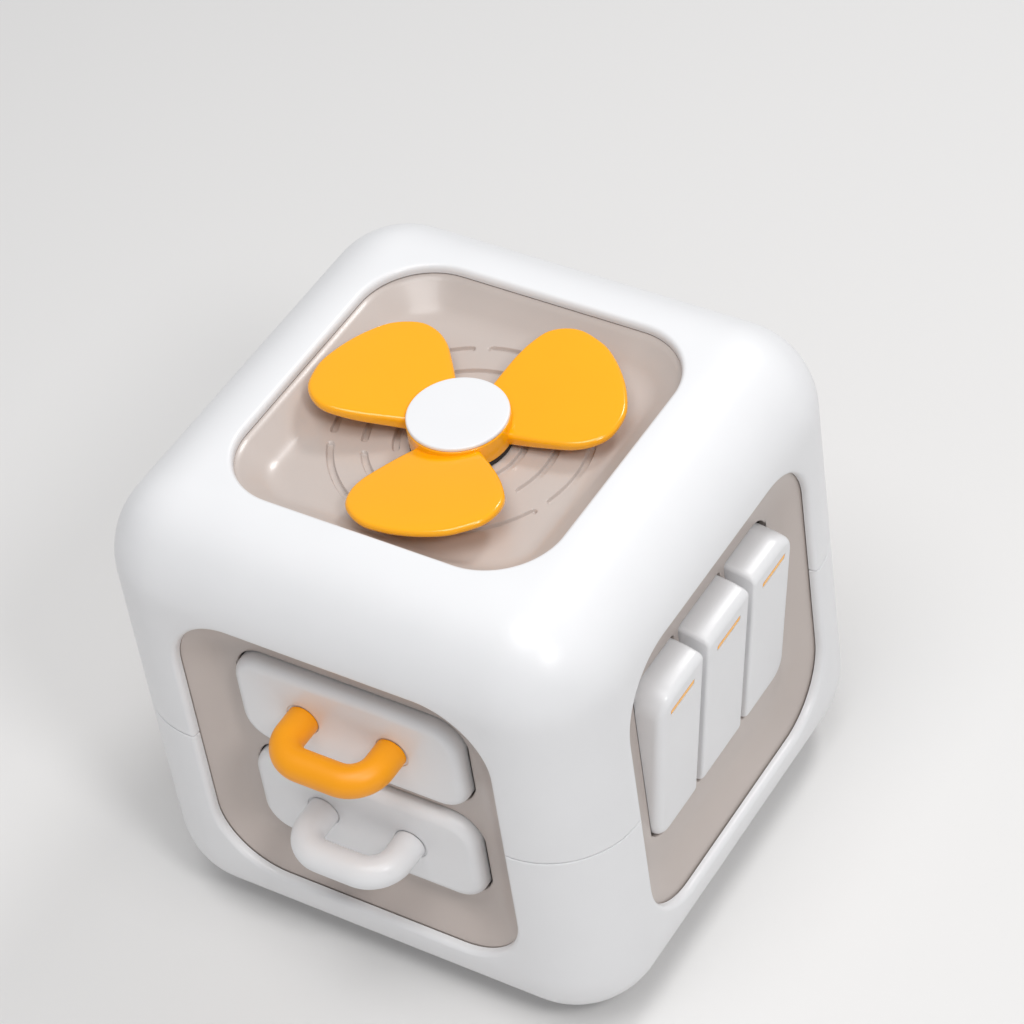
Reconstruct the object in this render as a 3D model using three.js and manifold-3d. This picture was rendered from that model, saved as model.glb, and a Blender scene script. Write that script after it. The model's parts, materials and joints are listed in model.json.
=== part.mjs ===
// Toddler activity cube: a rounded two-shell body with five dished panels and a flat base cover.
// The top dish holds a spinning three-blade fan, the front dish two pull-out drawers,
// and the right-hand dish three click rockers. Millimetres, +Z up.
// The origin is on the floor under the middle of the body. Drawers face -Y, rockers face +X.
import * as THREE from 'three';
import { RoundedBoxGeometry } from 'three/addons/geometries/RoundedBoxGeometry.js';
import { mergeVertices } from 'three/addons/utils/BufferGeometryUtils.js';
import Module from 'manifold-3d';

const wasm = await Module();
wasm.setup();

// ---- Driving dimensions -------------------------------------------------------------------

const BODY = { width: 150, height: 148, radius: 25, wall: 2.5, seamGap: 0.3 };
const MID = BODY.height / 2;
const HALF = BODY.width / 2;
const CLEAR = 0.3; // gap kept between touching pieces

// Window in each face: lip at the outer face, throat at the inner face of the wall.
const WINDOW = { throat: 48.3, lip: 49.5, radius: 20 };
const BASE_WINDOW_THROAT = 42; // smaller underneath, so that a flat ring is left to stand on

const PANEL = { seat: 3, sheet: 2, flange: 3, floorInset: 9.8, floorRadius: 10 };
const DISH = { top: 10.2, front: 9.6, right: 7, plain: 9.6 }; // floor depths
// Flat cover under the body, flush with the ring around it.
const BASE_COVER = { gap: 0.3, edge: 0.8, flangeCorner: 4 };

const RAIL = { inner: 49.9, outer: 64.5, depth: 5.3, thickness: 2.2, halfLength: 45 };
const POST = { offset: 60, radius: 4.5, bottom: 2, top: 134, webReach: 11, webThickness: 2.4 };
const LUG = { offset: 44.5, depth: 14, thickness: 2, width: 7, past: 4.5, intoPost: 5.5 };
const PANEL_BOSS = { radius: 3, pilot: 1.35 };

const SHELL_SCREW = { head: 2.8, headHeight: 2.3, shaft: 1.35, shoulderZ: 56, tipZ: 88 };
const SMALL_SCREW = { head: 2.3, headHeight: 1.6, shaft: 1.05 };
const SCREW_HOLE = 1.4; // clearance radius for a small screw

const FAN = {
  firstBlade: 45, bladeZ: 146, rootPitch: 5.8, tipPitch: 4.4, rootDrop: 3,
  bladeThickness: 2.5, rootThickening: 1.7, bladeEdge: 0.9,
  hubRadius: 14, hubTopZ: 146, capRadius: 13.8, capHeight: 1.3, capEdge: 0.6,
  capSpigot: { radius: 5.2, length: 0.9 }, socket: { radius: 5.6, floorZ: 141.8 },
  washerRadius: 14, washerHeight: 1.2, washerBore: 3.2, seatGap: 0.15, boreRadius: 2.8,
};
const AXLE = {
  radius: 2.5, bottomZ: 119.5, headRadius: 5, headHeight: 1.9,
  grooveZ: 121.6, grooveRadius: 1.7, grooveHeight: 1.8, clipRadius: 5, clipBore: 2, clipHeight: 1.2,
};
const BUSH = {
  flangeRadius: 6.4, radius: 4, bottomZ: 124.1, flangeHeight: 1.6, seatRadius: 4.3, bossRadius: 7,
};
const GROOVES = [
  { radius: 35, count: 8, firstBreak: 22.5 },
  { radius: 26, count: 6, firstBreak: 30 },
  { radius: 17.5, count: 4, firstBreak: 45 },
];
const GROOVE = { width: 1.8, depth: 1, breakLength: 3.8 };

const DRAWER = {
  halfWidth: 35.2, halfHeight: 15.5, radius: 9, fillet: 3.2, faceDepth: 5.7, blockDepth: 7,
  clearance: 0.5, centres: { upper: 17.5, lower: -18.7 },
  trayHalf: 33, traySide: 24, trayDepth: 61, wall: 2, earHalf: 35.2, earDepth: 3, earFoot: 8,
  frontWall: 3.5, pocketRise: 13,
};
const HANDLE = { halfSpan: 13.9, barRadius: 4.55, reach: 8.4, bend: 8, seatRadius: 4.95, seatDepth: 0.4 };
const HOUSING = { front: 12, back: 77.5, wall: 2, cellHalfWidth: 35.7, cellHalfHeight: 15.9 };
const HOUSING_BOSS = { a: 42.5, b: 24, top: 9.3, end: 18, earReach: 46, earHalf: 4, earThickness: 2 };
const STOP_RIB = { gap: 0.6, halfHeight: 10, thickness: 2 };

const ROCKER = {
  pitch: 24.9, halfWidth: 10.9, pivotDepth: 10.2, pivotRise: 1.83, restTilt: 7.6,
  faceHeight: 8.5, arcRadius: 30.05, fillet: 2.5, back: -3, wall: 2, cornerRadius: 8, edgeRadius: 1.5,
  boreRadius: 2.3, hubRadius: 4.2, pocketU: 5.9, pocketHalf: 26,
  noseReach: 8.5, noseHalf: 4, noseThickness: 2.4,
  slotV: 22.5, openingGap: 0.45, openingCorner: 7.5,
};
const INDICATOR = { length: 12, width: 1.1, sunk: 0.15, slotLength: 12.6, slotWidth: 1.7, slotDepth: 1.6 };
const ROD = { radius: 2, halfLength: 40.3, headRadius: 3, headHeight: 1.6, retainerHeight: 1.2 };
const PIVOT_RIB = { height: 16, depth: 6, width: 2.2, boreReach: 45 };
const LEAF = { half: 14, thickness: 0.6, foot: 4, width: 6, clearance: 0.8 };
const BACKPLATE = { depth: 24.4, thickness: 2, halfWidth: 44.5, halfHeight: 20, postA: 41, postB: 17 };

// ---- Materials ----------------------------------------------------------------------------

function plastic(color, roughness) {
  return new THREE.MeshStandardMaterial({ color, roughness, metalness: 0 });
}
const WHITE = plastic(0xf2f2f2, 0.4);
const GREIGE = plastic(0xc9bcb1, 0.5);
const AMBER = plastic(0xfdae00, 0.25);
const AMBER_MATT = plastic(0xf5a000, 0.5);
const BLACK = plastic(0x141414, 0.5);
const GREY = plastic(0x9a9a9a, 0.6);
const STEEL = new THREE.MeshStandardMaterial({ color: 0xc0c4c8, roughness: 0.3, metalness: 1 });

// ---- Solid helpers ------------------------------------------------------------------------

function toSolid(geometry) {
  const bare = new THREE.BufferGeometry();
  bare.setAttribute('position', geometry.getAttribute('position').clone());
  if (geometry.index) bare.setIndex(geometry.index.clone());
  const merged = mergeVertices(bare, 1e-4);
  return new wasm.Manifold(new wasm.Mesh({
    numProp: 3,
    vertProperties: new Float32Array(merged.getAttribute('position').array),
    triVerts: new Uint32Array(merged.index.array),
  }));
}

function toGeometry(solid) {
  const mesh = solid.getMesh();
  const geometry = new THREE.BufferGeometry();
  geometry.setAttribute('position', new THREE.BufferAttribute(new Float32Array(mesh.vertProperties), 3));
  geometry.setIndex(new THREE.BufferAttribute(new Uint32Array(mesh.triVerts), 1));
  geometry.computeVertexNormals();
  return geometry;
}

const union = (first, ...others) => others.reduce((sum, next) => sum.add(next), first);
const cut = (first, ...others) => others.reduce((rest, next) => rest.subtract(next), first);

function place(geometry, matrix) {
  return toSolid(geometry.clone().applyMatrix4(matrix));
}

// Frame of one face: a runs along the face, b up it, c out of it, from the outer face's centre.
function faceFrame(a, b, c, origin) {
  return new THREE.Matrix4().makeBasis(
    new THREE.Vector3(...a), new THREE.Vector3(...b), new THREE.Vector3(...c),
  ).setPosition(...origin);
}
const FACES = {
  top: faceFrame([1, 0, 0], [0, 1, 0], [0, 0, 1], [0, 0, BODY.height]),
  bottom: faceFrame([1, 0, 0], [0, -1, 0], [0, 0, -1], [0, 0, 0]),
  front: faceFrame([1, 0, 0], [0, 0, 1], [0, -1, 0], [0, -HALF, MID]),
  back: faceFrame([-1, 0, 0], [0, 0, 1], [0, 1, 0], [0, HALF, MID]),
  right: faceFrame([0, 1, 0], [0, 0, 1], [1, 0, 0], [HALF, 0, MID]),
  left: faceFrame([0, -1, 0], [0, 0, 1], [-1, 0, 0], [-HALF, 0, MID]),
};
const WORLD = new THREE.Matrix4();

// Box given by its low and high corners in a frame.
function boxIn(frame, low, high) {
  const size = high.map((value, axis) => value - low[axis]);
  const box = new THREE.BoxGeometry(...size);
  box.translate(...low.map((value, axis) => value + size[axis] / 2));
  return place(box, frame);
}

// Cylinder along c, from depth `from` to depth `to` (depths are measured inwards).
function pinIn(frame, a, b, from, to, radius, sides = 8) {
  const pin = new THREE.CylinderGeometry(radius, radius, Math.abs(to - from), sides);
  pin.rotateX(Math.PI / 2);
  pin.translate(a, b, -(from + to) / 2);
  return place(pin, frame);
}

function roundedOutline(halfA, halfB, radius, segments) {
  const points = [];
  for (let corner = 0; corner < 4; corner += 1) {
    const signA = corner === 0 || corner === 3 ? 1 : -1;
    const signB = corner < 2 ? 1 : -1;
    for (let step = 0; step <= segments; step += 1) {
      const angle = (corner + step / segments) * Math.PI / 2;
      points.push([
        signA * (halfA - radius) + radius * Math.cos(angle),
        signB * (halfB - radius) + radius * Math.sin(angle),
      ]);
    }
  }
  return points;
}

// Closed surface through rings of 3-D points, capped at both ends. Each ring runs counter-clockwise
// as seen from the start of the run.
function skin(rings) {
  const count = rings[0].length;
  const positions = rings.flat(2);
  for (const ring of [rings[0], rings[rings.length - 1]]) {
    for (let axis = 0; axis < 3; axis += 1) {
      positions.push(ring.reduce((sum, point) => sum + point[axis], 0) / count);
    }
  }
  const firstCap = rings.length * count;
  const last = (rings.length - 1) * count;
  const index = [];
  for (let k = 0; k < count; k += 1) {
    const next = (k + 1) % count;
    for (let upper = 0; upper < last; upper += count) {
      const lower = upper + count;
      index.push(lower + k, lower + next, upper + next, lower + k, upper + next, upper + k);
    }
    index.push(firstCap, k, next, firstCap + 1, last + next, last + k);
  }
  const geometry = new THREE.BufferGeometry();
  geometry.setAttribute('position', new THREE.Float32BufferAttribute(positions, 3));
  geometry.setIndex(index);
  return geometry;
}

// Closed solid through a run of rounded rectangles, listed from the outside face inwards.
// Each ring is { a, b, radius, depth }.
function loft(rings, segments = 4) {
  return skin(rings.map(({ a, b = a, radius, depth }) => (
    roundedOutline(a, b, radius, segments).map(([x, y]) => [x, y, -depth])
  )));
}

function prism(shape, depth, curveSegments) {
  return new THREE.ExtrudeGeometry(shape, { depth, bevelEnabled: false, curveSegments, steps: 1 });
}

function lathe(profile, sides) {
  return new THREE.LatheGeometry(profile.map(([r, z]) => new THREE.Vector2(r, z)), sides)
    .rotateX(Math.PI / 2);
}

const part = new THREE.Group();
function addMesh(name, geometry, material) {
  const mesh = new THREE.Mesh(geometry, material);
  mesh.name = name;
  part.add(mesh);
  return mesh;
}
const addSolid = (name, solid, material) => addMesh(name, toGeometry(solid), material);

// Pan-head screw along c: its head's underside is at headDepth, and `sense` +1 points the tip outwards.
function screwIn(frame, a, b, headDepth, tipDepth, size = SMALL_SCREW) {
  const sense = Math.sign(headDepth - tipDepth);
  return union(
    pinIn(frame, a, b, headDepth + sense * size.headHeight, headDepth, size.head),
    pinIn(frame, a, b, headDepth + sense * 0.2, tipDepth, size.shaft, 6),
  );
}

// ---- Body shells --------------------------------------------------------------------------

function windowCutter(throat) {
  const lip = throat + WINDOW.lip - WINDOW.throat;
  const radius = WINDOW.radius;
  return loft([
    { a: lip, radius: radius + 1.2, depth: -2 },
    { a: lip, radius: radius + 1.2, depth: 0 },
    { a: throat + 0.35, radius: radius + 0.35, depth: 1 },
    { a: throat, radius, depth: 2 },
    { a: throat, radius, depth: 4 },
  ]);
}

// Corner post with its web: the shells' long screws run up the middle of it.
function cornerPost(signX, signY) {
  const length = POST.top - POST.bottom;
  const post = new THREE.CylinderGeometry(POST.radius, POST.radius, length, 8);
  const web = new THREE.BoxGeometry(POST.webReach, length, POST.webThickness);
  web.translate(POST.webReach / 2, 0, 0);
  const turn = new THREE.Matrix4().makeRotationZ(Math.atan2(signY, signX));
  const stand = new THREE.Matrix4().makeRotationX(Math.PI / 2);
  const move = new THREE.Matrix4().makeTranslation(
    signX * POST.offset, signY * POST.offset, (POST.top + POST.bottom) / 2,
  );
  const matrix = move.multiply(turn).multiply(stand);
  return union(place(post, matrix), place(web, matrix));
}

// Lug between a corner post and a panel boss, one under each corner of the top and bottom panels.
function panelLug(frame, signA, signB) {
  const near = LUG.offset * Math.SQRT2 - LUG.past;
  const far = POST.offset * Math.SQRT2 + LUG.intoPost;
  const lug = new THREE.BoxGeometry(far - near, LUG.width, LUG.thickness);
  lug.translate((far + near) / 2, 0, 0);
  lug.rotateZ(Math.atan2(signB, signA));
  lug.translate(0, 0, -LUG.depth - LUG.thickness / 2);
  return place(lug, frame);
}

const CORNERS = [[1, 1], [-1, 1], [-1, -1], [1, -1]];
const SIDES = ['front', 'right', 'back', 'left'];

function buildBody() {
  const { width, height, radius, wall } = BODY;
  const centre = new THREE.Matrix4().makeTranslation(0, 0, MID);
  const outer = place(new RoundedBoxGeometry(width, width, height, 3, radius), centre);
  const inner = place(new RoundedBoxGeometry(
    width - 2 * wall, width - 2 * wall, height - 2 * wall, 3, radius - wall,
  ), centre);
  let body = cut(outer, inner);
  let fittings = null;
  const fit = (solid) => { fittings = fittings ? fittings.add(solid) : solid; };
  for (const [signX, signY] of CORNERS) {
    fit(cornerPost(signX, signY));
    fit(panelLug(FACES.top, signX, signY));
    fit(panelLug(FACES.bottom, signX, signY));
  }
  for (const side of SIDES) {
    for (const sign of [-1, 1]) {
      const edges = [sign * RAIL.inner, sign * RAIL.outer].sort((p, q) => p - q);
      fit(boxIn(
        FACES[side], [edges[0], -RAIL.halfLength, -RAIL.depth - RAIL.thickness],
        [edges[1], RAIL.halfLength, -RAIL.depth],
      ));
    }
  }
  body = body.add(fittings.intersect(outer));
  for (const [name, frame] of Object.entries(FACES)) {
    body = body.subtract(place(windowCutter(name === 'bottom' ? BASE_WINDOW_THROAT : WINDOW.throat), frame));
  }
  for (const [signX, signY] of CORNERS) {
    const x = signX * POST.offset;
    const y = signY * POST.offset;
    const shoulder = SHELL_SCREW.shoulderZ;
    body = cut(
      body,
      pinIn(FACES.bottom, x, -y, -1, shoulder, SHELL_SCREW.head + 0.5),
      pinIn(FACES.bottom, x, -y, shoulder - 1, SHELL_SCREW.tipZ + 3, SHELL_SCREW.shaft + CLEAR),
      pinIn(FACES.top, signX * LUG.offset, signY * LUG.offset, LUG.depth - 1, LUG.depth + 3, SCREW_HOLE),
      pinIn(FACES.bottom, signX * LUG.offset, signY * LUG.offset, LUG.depth - 1, LUG.depth + 3, SCREW_HOLE),
    );
  }
  return body;
}

function buildShells() {
  const body = buildBody();
  const reach = HALF + 5;
  const above = boxIn(WORLD, [-reach, -reach, MID + BODY.seamGap / 2], [reach, reach, BODY.height + 5]);
  const below = boxIn(WORLD, [-reach, -reach, -5], [reach, reach, MID - BODY.seamGap / 2]);
  addSolid('upper_shell', body.intersect(above), WHITE);
  addSolid('lower_shell', body.intersect(below), WHITE);
  CORNERS.forEach(([signX, signY], index) => {
    const screw = screwIn(
      FACES.bottom, signX * POST.offset, -signY * POST.offset,
      SHELL_SCREW.shoulderZ - CLEAR, SHELL_SCREW.tipZ, SHELL_SCREW,
    );
    addSolid(`shell_screw_${index + 1}`, screw, STEEL);
  });
}

// ---- Dished panels ------------------------------------------------------------------------

function dish(floorDepth) {
  const { throat } = WINDOW;
  const floor = throat - PANEL.floorInset;
  const flange = throat + PANEL.flange;
  const back = PANEL.seat + PANEL.sheet;
  return loft([
    { a: floor - 1.3, radius: PANEL.floorRadius, depth: floorDepth },
    { a: floor + 1, radius: PANEL.floorRadius + 1.5, depth: floorDepth - 1.1 },
    { a: throat, radius: WINDOW.radius, depth: PANEL.seat },
    { a: flange, radius: 8, depth: PANEL.seat },
    { a: flange, radius: 8, depth: back },
    { a: throat + 1.2, radius: WINDOW.radius, depth: back },
    { a: floor + 1, radius: PANEL.floorRadius + 1, depth: floorDepth + PANEL.sheet },
  ]);
}

function screwedPanel(frame, solid, offset) {
  let panel = solid;
  for (const [signA, signB] of CORNERS) {
    const a = signA * offset;
    const b = signB * offset;
    panel = panel.add(pinIn(frame, a, b, PANEL.seat + 1, LUG.depth - CLEAR, PANEL_BOSS.radius));
    panel = panel.subtract(pinIn(frame, a, b, PANEL.seat + 3, LUG.depth, PANEL_BOSS.pilot));
  }
  return panel;
}

function addPanelScrews(side, offset) {
  CORNERS.forEach(([signA, signB], index) => {
    const head = LUG.depth + LUG.thickness + CLEAR;
    const screw = screwIn(FACES[side], signA * offset, signB * offset, head, PANEL.seat + 4);
    addSolid(`${side}_panel_screw_${index + 1}`, screw, STEEL);
  });
}

// One arc of the grille pressed into the top dish's floor.
function grooveCutter(radius, startDegrees, endDegrees) {
  const start = THREE.MathUtils.degToRad(startDegrees);
  const end = THREE.MathUtils.degToRad(endDegrees);
  const shape = new THREE.Shape();
  shape.absarc(0, 0, radius + GROOVE.width / 2, start, end, false);
  shape.absarc(0, 0, radius - GROOVE.width / 2, end, start, true);
  const groove = prism(shape, GROOVE.depth + 1, 2);
  groove.translate(0, 0, -DISH.top - GROOVE.depth);
  return place(groove, FACES.top);
}

function buildTopPanel() {
  const floor = DISH.top;
  const bossEnd = BODY.height - BUSH.bottomZ - BUSH.flangeHeight - 0.1;
  let panel = screwedPanel(FACES.top, place(dish(floor), FACES.top), LUG.offset);
  panel = panel.add(pinIn(FACES.top, 0, 0, floor + 1, bossEnd, BUSH.bossRadius, 14));
  panel = panel.subtract(pinIn(FACES.top, 0, 0, floor - 1, bossEnd + 1, BUSH.seatRadius, 14));
  for (const ring of GROOVES) {
    const pitch = 360 / ring.count;
    const halfBreak = THREE.MathUtils.radToDeg(GROOVE.breakLength / 2 / ring.radius);
    for (let k = 0; k < ring.count; k += 1) {
      const start = ring.firstBreak + k * pitch;
      panel = panel.subtract(grooveCutter(ring.radius, start + halfBreak, start + pitch - halfBreak));
    }
  }
  addSolid('top_panel', panel, GREIGE);
  addPanelScrews('top', LUG.offset);
}

function buildFrontPanel() {
  let panel = place(dish(DISH.front), FACES.front);
  const gap = DRAWER.clearance;
  for (const centre of Object.values(DRAWER.centres)) {
    const ring = { a: DRAWER.halfWidth + gap, b: DRAWER.halfHeight + gap, radius: DRAWER.radius + gap };
    const opening = loft([{ ...ring, depth: DISH.front - 3 }, { ...ring, depth: DISH.front + 4 }]);
    panel = panel.subtract(place(opening.translate(0, centre, 0), FACES.front));
  }
  for (const [signA, signB] of CORNERS) {
    const a = signA * HOUSING_BOSS.a;
    const b = signB * HOUSING_BOSS.b;
    panel = panel.add(pinIn(FACES.front, a, b, HOUSING_BOSS.top, HOUSING_BOSS.end, PANEL_BOSS.radius));
    panel = panel.subtract(
      pinIn(FACES.front, a, b, HOUSING_BOSS.top + 2.3, HOUSING_BOSS.end + 1, PANEL_BOSS.pilot),
    );
  }
  addSolid('front_panel', panel, GREIGE);
}

const PIVOT_DEPTH = ROCKER.pivotDepth;
const ROCKER_OUTER = ROCKER.pitch + ROCKER.halfWidth;
const RIB_FACE = ROCKER_OUTER + ROCKER.openingGap + PIVOT_RIB.width;

// Round cutter along the rockers' pivot line, between two places across the right face.
function rodBore(radius, from, to) {
  const bore = new THREE.CylinderGeometry(radius, radius, to - from, 12);
  bore.rotateZ(Math.PI / 2);
  bore.translate((from + to) / 2, ROCKER.pivotRise, -PIVOT_DEPTH);
  return place(bore, FACES.right);
}

// Opening for one rocker: large corners on the outer side only, as on the rocker itself.
function rockerOpening(outerSide, from, to) {
  const a = ROCKER.halfWidth + ROCKER.openingGap;
  const b = ROCKER.arcRadius + ROCKER.openingGap;
  const move = (geometry, shift) => place(
    geometry.translate(outerSide * ROCKER.pitch + shift, ROCKER.pivotRise, 0), FACES.right,
  );
  const rings = (half, radius) => [from, to].map((depth) => ({ a: half, b, radius, depth }));
  if (outerSide === 0) return move(loft(rings(a, ROCKER.edgeRadius)), 0);
  return union(
    move(loft(rings(a, ROCKER.openingCorner)), 0),
    move(loft(rings(a / 2, ROCKER.edgeRadius)), -outerSide * a / 2),
  );
}

function buildRightPanel() {
  const frame = FACES.right;
  let panel = place(dish(DISH.right), frame);
  const ribBack = PIVOT_DEPTH + PIVOT_RIB.depth;
  const ribHalf = PIVOT_RIB.width / 2;
  const outerRib = RIB_FACE - ribHalf;
  for (const a of [outerRib, ROCKER.pitch / 2, -ROCKER.pitch / 2, -outerRib]) {
    const half = Math.min(ribHalf, ROCKER.pitch / 2 - ROCKER.halfWidth - ROCKER.openingGap);
    const rise = ROCKER.pivotRise;
    panel = panel.add(boxIn(
      frame, [a - half, rise - PIVOT_RIB.height / 2, -ribBack],
      [a + half, rise + PIVOT_RIB.height / 2, -DISH.right - 1],
    ));
  }
  for (let k = -1; k <= 1; k += 1) {
    panel = panel.subtract(rockerOpening(k, DISH.right - 2, ribBack + 1));
  }
  panel = panel.subtract(rodBore(ROCKER.boreRadius, -PIVOT_RIB.boreReach, PIVOT_RIB.boreReach));
  for (const edges of [[RIB_FACE, PIVOT_RIB.boreReach], [-PIVOT_RIB.boreReach, -RIB_FACE]]) {
    panel = panel.subtract(rodBore(ROD.headRadius + CLEAR, ...edges));
  }
  for (const [signA, signB] of CORNERS) {
    const a = signA * BACKPLATE.postA;
    const b = ROCKER.pivotRise + signB * BACKPLATE.postB;
    panel = panel.add(pinIn(frame, a, b, DISH.right, BACKPLATE.depth - CLEAR, PANEL_BOSS.radius));
    panel = panel.subtract(
      pinIn(frame, a, b, DISH.right + 5, BACKPLATE.depth + 1, PANEL_BOSS.pilot),
    );
  }
  addSolid('right_panel', panel, GREIGE);
}

// Flat cover under the body: a flush outer sheet with a rounded rim, hollow behind.
function baseCover() {
  const outer = BASE_WINDOW_THROAT - BASE_COVER.gap;
  const { edge } = BASE_COVER;
  const { radius } = WINDOW;
  const back = PANEL.seat + PANEL.sheet;
  const flange = BASE_WINDOW_THROAT + PANEL.flange;
  const inner = outer - PANEL.sheet;
  const cover = loft([
    { a: outer - edge, radius: radius - edge, depth: 0 },
    { a: outer, radius, depth: edge },
    { a: outer, radius, depth: PANEL.seat },
    { a: flange, radius: BASE_COVER.flangeCorner, depth: PANEL.seat },
    { a: flange, radius: BASE_COVER.flangeCorner, depth: back },
  ]);
  const hollow = loft([
    { a: inner, radius: radius - PANEL.sheet, depth: PANEL.sheet },
    { a: inner, radius: radius - PANEL.sheet, depth: back + 1 },
  ]);
  return cut(place(cover, FACES.bottom), place(hollow, FACES.bottom));
}

function buildPlainPanels() {
  addSolid('back_panel', place(dish(DISH.plain), FACES.back), GREIGE);
  addSolid('left_panel', place(dish(DISH.plain), FACES.left), GREIGE);
  addSolid('bottom_panel', screwedPanel(FACES.bottom, baseCover(), LUG.offset), GREIGE);
  addPanelScrews('bottom', LUG.offset);
}

// ---- Fan ----------------------------------------------------------------------------------

// Edges of one blade: u is the distance from the axle, low and high are the places across it.
const BLADE_STATIONS = [
  [10, -8.7, 8.6], [15, -12.7, 12.7], [20, -16.3, 16.6], [25, -19.5, 19.6], [30, -21, 21.4],
  [35, -20.5, 20.6], [39, -17.6, 17.9], [42, -13.5, 13.1], [43.6, -8.2, 9], [44.4, -3, 3.5],
];

// Place of a point of the blade: the blade is twisted, steeper and lower towards the hub.
function bladePoint(u, v, w) {
  const rootU = BLADE_STATIONS[0][0];
  const tipU = BLADE_STATIONS[BLADE_STATIONS.length - 1][0];
  const share = (tipU - u) / (tipU - rootU);
  const pitch = THREE.MathUtils.degToRad(FAN.tipPitch + (FAN.rootPitch - FAN.tipPitch) * share);
  return [
    u, v * Math.cos(pitch) - w * Math.sin(pitch),
    FAN.bladeZ - FAN.rootDrop * share ** 2 + v * Math.sin(pitch) + w * Math.cos(pitch),
  ];
}

function bladeSolid(angle) {
  const rootU = BLADE_STATIONS[0][0];
  const tipU = BLADE_STATIONS[BLADE_STATIONS.length - 1][0];
  const top = FAN.bladeThickness / 2;
  const edge = FAN.bladeEdge;
  const rings = BLADE_STATIONS.map(([u, low, high]) => {
    const under = -top - FAN.rootThickening * ((tipU - u) / (tipU - rootU)) ** 1.5;
    const section = [
      [low + edge, top], [high - edge, top], [high, top - edge], [high, under + edge],
      [high - edge, under], [low + edge, under], [low, under + edge], [low, top - edge],
    ];
    return section.map(([v, w]) => bladePoint(u, v, w));
  });
  return toSolid(skin(rings).rotateZ(THREE.MathUtils.degToRad(angle)));
}

function buildFan() {
  const floorZ = BODY.height - DISH.top;
  const washerBottom = floorZ + FAN.seatGap;
  const washerTop = washerBottom + FAN.washerHeight;
  const hubBottom = washerTop + FAN.seatGap;
  const { socket, capSpigot } = FAN;
  let rotor = toSolid(lathe([
    [0, hubBottom], [FAN.hubRadius, hubBottom], [FAN.hubRadius, FAN.hubTopZ], [0, FAN.hubTopZ],
  ], 24));
  for (let k = 0; k < 3; k += 1) rotor = rotor.add(bladeSolid(FAN.firstBlade + 120 * k));
  rotor = cut(
    rotor,
    toSolid(lathe([
      [0, FAN.hubTopZ], [FAN.hubRadius + CLEAR, FAN.hubTopZ], [FAN.hubRadius + CLEAR, FAN.hubTopZ + 9],
      [0, FAN.hubTopZ + 9],
    ], 24)),
    toSolid(lathe([
      [0, hubBottom - 9], [FAN.hubRadius + CLEAR, hubBottom - 9], [FAN.hubRadius + CLEAR, hubBottom],
      [FAN.boreRadius, hubBottom], [FAN.boreRadius, socket.floorZ], [socket.radius, socket.floorZ],
      [socket.radius, FAN.hubTopZ + 1], [0, FAN.hubTopZ + 1],
    ], 24)),
  );
  addSolid('fan_rotor', rotor, AMBER);

  const capBottom = FAN.hubTopZ + 0.05;
  const capTop = FAN.hubTopZ + FAN.capHeight;
  addMesh('fan_cap', lathe([
    [0, capBottom - capSpigot.length], [capSpigot.radius, capBottom - capSpigot.length],
    [capSpigot.radius, capBottom], [FAN.capRadius, capBottom], [FAN.capRadius, capTop - FAN.capEdge],
    [FAN.capRadius - FAN.capEdge, capTop - 0.1], [0, capTop],
  ], 24), WHITE);

  const headBottom = socket.floorZ + CLEAR;
  const { grooveZ, grooveRadius } = AXLE;
  const grooveTop = grooveZ + AXLE.grooveHeight;
  addMesh('fan_axle', lathe([
    [0, AXLE.bottomZ], [AXLE.radius - 0.5, AXLE.bottomZ], [AXLE.radius, AXLE.bottomZ + 0.5],
    [AXLE.radius, grooveZ], [grooveRadius, grooveZ], [grooveRadius, grooveTop], [AXLE.radius, grooveTop],
    [AXLE.radius, headBottom], [AXLE.headRadius, headBottom],
    [AXLE.headRadius, headBottom + AXLE.headHeight], [0, headBottom + AXLE.headHeight],
  ], 12), STEEL);
  const flangeTop = BUSH.bottomZ + BUSH.flangeHeight;
  addMesh('fan_bush', lathe([
    [FAN.boreRadius, BUSH.bottomZ], [BUSH.flangeRadius, BUSH.bottomZ], [BUSH.flangeRadius, flangeTop],
    [BUSH.radius, flangeTop], [BUSH.radius, floorZ - 0.2], [FAN.boreRadius, floorZ - 0.2],
    [FAN.boreRadius, BUSH.bottomZ],
  ], 14), GREY);
  addMesh('fan_washer', lathe([
    [FAN.washerBore, washerBottom], [FAN.washerRadius, washerBottom], [FAN.washerRadius, washerTop],
    [FAN.washerBore, washerTop], [FAN.washerBore, washerBottom],
  ], 24), BLACK);
  const clipBottom = grooveZ + CLEAR;
  const clipTop = clipBottom + AXLE.clipHeight;
  addMesh('fan_retaining_clip', lathe([
    [AXLE.clipBore, clipBottom], [AXLE.clipRadius, clipBottom], [AXLE.clipRadius, clipTop],
    [AXLE.clipBore, clipTop], [AXLE.clipBore, clipBottom],
  ], 12), STEEL);
}

// ---- Drawers ------------------------------------------------------------------------------

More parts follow.
